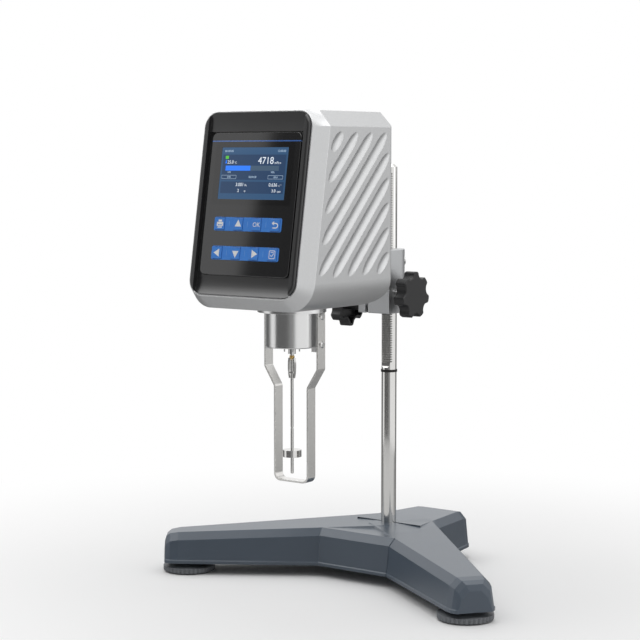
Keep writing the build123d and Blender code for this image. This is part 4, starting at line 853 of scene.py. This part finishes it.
# I and O on the two halves of the rocker: its valley and its tip, out and up from the pivot
rocker_tilt = math.radians(8.0)     # at rest, switched off
rocker_valley, rocker_tip = Vector((5.6, 0)), Vector((7.4, 4.2))
rocker_mark_tall = 2.2
slope = rocker_tip - rocker_valley
half_middle = (rocker_tip + rocker_valley) / 2
rocker_out = Vector((0, math.cos(rocker_tilt), math.sin(rocker_tilt)))
rocker_up = Vector((0, -math.sin(rocker_tilt), math.cos(rocker_tilt)))
pivot_m = Vector(joint("power_rocker")["pos_m"])
for mark, half in (("I", 1), ("O", -1)):
    out = (rocker_out * slope.y - rocker_up * slope.x * half).normalized()
    up = (rocker_up * slope.y + rocker_out * slope.x * half).normalized()
    spot = rocker_out * half_middle.x + rocker_up * half_middle.y * half
    face = axes_matrix(-X_AXIS, up, out, pivot_m + spot * MM)
    Inlay(film).words(mark, 0, -rocker_mark_tall / 2, rocker_mark_tall, "CENTER").done(
        "rocker_mark_" + mark, face, (0, 0, 0), white_ink, "power_switch", "socket_black")

# ring mark and bubble of the level
vial_low, vial_high = extent("level_vial", upright)
vial_top = Vector(((vial_low.x + vial_high.x) / 2, (vial_low.y + vial_high.y) / 2, vial_high.z))
Inlay(film).shape(arc((0, 0), 3.0, 0, 360, 32)[:-1], arc((0, 0), 2.75, 0, 360, 32)[:-1]).done(
    "level_mark", upright, vial_top, hole_shade_and_ring_ink, "head", "level_green")


def bubble_mesh(radius, rise, sides=24):
    """A low dome standing on its own flat foot."""
    dome = bmesh.new()
    rings = []
    for turn in (0, 20, 40, 60, 78):
        lean = math.radians(turn)
        points = arc((0, 0), radius * math.cos(lean), 0, 360, sides)[:-1]
        rings.append([dome.verts.new((x, y, rise * math.sin(lean))) for x, y in points])
    for low, high in zip(rings, rings[1:]):
        for n in range(sides):
            after = (n + 1) % sides
            dome.faces.new((low[n], low[after], high[after], high[n]))
    dome.faces.new(rings[-1])
    dome.faces.new(rings[0][::-1])
    mesh = bpy.data.meshes.new("level_bubble")
    dome.to_mesh(mesh)
    dome.free()
    return mesh


bubble = bubble_mesh(2.3, 0.28)
bubble.transform(upright @ Matrix.Translation(vial_top + Vector((0.25, -0.15, 0))))
for polygon in bubble.polygons:
    polygon.use_smooth = True
to_piece("level_bubble", bubble, bubble_green, "head")


# ------------------------------------------------------------------ studio
camera_at = (1.0795, -1.5087, 0.4434)
camera_azimuth = math.radians(36.56)
camera_dip = math.radians(5.16)
camera_data = bpy.data.cameras.new("camera")
camera_data.sensor_width = 36.0
camera_data.lens = 101.57
camera = bpy.data.objects.new("camera", camera_data)
camera.location = camera_at
camera.rotation_euler = (math.pi / 2 - camera_dip, 0, camera_azimuth)
bpy.context.scene.collection.objects.link(camera)
bpy.context.scene.camera = camera


def softbox(name, at, aim, size, power):
    """An area lamp of a size and a power in watts that faces a point."""
    data = bpy.data.lights.new(name, "AREA")
    data.shape = "RECTANGLE"
    data.size, data.size_y = size
    data.energy = power
    lamp = bpy.data.objects.new(name, data)
    lamp.location = at
    lamp.rotation_euler = (Vector(aim) - Vector(at)).to_track_quat("-Z", "Y").to_euler()
    bpy.context.scene.collection.objects.link(lamp)


softbox("top_box", (-0.1, -0.2, 2.0), (0, 0, 0.3), (3.4, 2.8), 36)
softbox("right_box", (1.7, 0.7, 0.9), (0, 0, 0.35), (0.6, 1.4), 2)
softbox("left_box", (-1.1, -1.0, 1.6), (0, 0, 0.3), (0.9, 0.9), 1.8)


floor_radius = 0.85
floor_fade = (0.20, 0.75)       # where the floor runs out into the backdrop

# The dark cards that metal and glass meet. The front one has the planes of its two edges and the
# way it gets paler; the two behind have their middles. Away is straight back from the camera.
card_left_edge = (0.7666, -0.6420, -0.0093)
card_right_edge = (-0.641, -0.767, 0)
card_paler = (0.950, 0.310, 0)
card_left = (-0.984, 0.118, 0.05)
card_right = (-0.016, 1.0, 0.05)
away = (-0.582, 0.813, 0)


def studio_floor():
    """Pale floor that keeps the shadow and runs out into the white backdrop; to what it lights it is greyer, and
    darker behind the object, a painted shade.
    """
    f = Finish("studio_floor")
    cloud = f.grain(400, detail=2)
    seen = f.node("ShaderNodeLightPath", output="Is Camera Ray")
    pale = f.mix(cloud, (0.93, 0.93, 0.93), (0.96, 0.96, 0.96))
    # for all rays but the camera's the floor is painted darker behind the object: painted shade seen by the metal
    # and the underside
    bounce_with_painted_shade = f.mix(f.span(f.toward(away), -0.15, 0.25), (0.76, 0.76, 0.76), (0.22, 0.22, 0.22))
    near = f.satin(Base_Color=f.mix(seen, bounce_with_painted_shade, pale), Roughness=0.75 + 0.1 * cloud)
    far = f.node("ShaderNodeEmission", None, {"Color": (1, 1, 1)})
    reach = f.node("ShaderNodeVectorMath", {"operation": "LENGTH"}, {0: f.place}, "Value")
    share = f.span(reach, *floor_fade) * seen
    return f.end(f.node("ShaderNodeMixShader", None, {0: share, 1: near, 2: far}))


floor_mesh = bpy.data.meshes.new("floor")
floor_form = bmesh.new()
bmesh.ops.create_circle(floor_form, cap_ends=True, segments=96, radius=floor_radius)
floor_form.to_mesh(floor_mesh)
floor_form.free()
floor_mesh.materials.append(studio_floor())
floor = bpy.data.objects.new("floor", floor_mesh)
bpy.context.scene.collection.objects.link(floor)


def studio_room():
    """White backdrop; metal and glass also meet the dark cards in front of it and behind it."""
    world = bpy.data.worlds.new("studio")
    bpy.context.scene.world = world
    f = Finish("studio", world, "Generated")
    left_edge = f.span(f.toward(card_left_edge), -0.004, 0.004)
    front_card = left_edge * f.span(f.toward(card_right_edge), -0.12, 0.12)
    grey = f.span(f.toward(card_paler), -0.10, 0.3, 0.14, 0.30)
    dark = f.mix(grey, (0, 0, 0), (1, 1, 1))
    side_cards = [f.span(f.toward(place), 0.927, 0.978) for place in (card_left, card_right)]
    clear = (1 - side_cards[0]) * (1 - side_cards[1])
    behind_low = (1 - f.span(f.axes()[2], -0.03, 0.0)) * f.span(f.toward(away), 0.15, 0.35)
    light = f.mix(behind_low, (1, 1, 1), (0.28, 0.28, 0.28))
    mirrored = f.mix(front_card, f.mix(clear, (0.14, 0.14, 0.14), light), dark)
    fill = f.span(f.axes()[2], -0.2, 0.9, 0.16, 0.42)
    glossy = f.node("ShaderNodeLightPath", output="Is Glossy Ray")
    lit = f.mix(glossy, f.mix(fill, (0, 0, 0), (1, 1, 1)), mirrored)
    shown = f.node("ShaderNodeLightPath", output="Is Camera Ray")
    through = f.node("ShaderNodeLightPath", output="Is Transmission Ray")
    white = f.node("ShaderNodeMath", {"operation": "MAXIMUM"}, {0: shown, 1: through})
    colour = f.mix(white, lit, (1, 1, 1))
    return f.end(f.node("ShaderNodeBackground", None, {"Color": colour}), "ShaderNodeOutputWorld")


studio_room()
bpy.context.scene.view_settings.view_transform = "Standard"
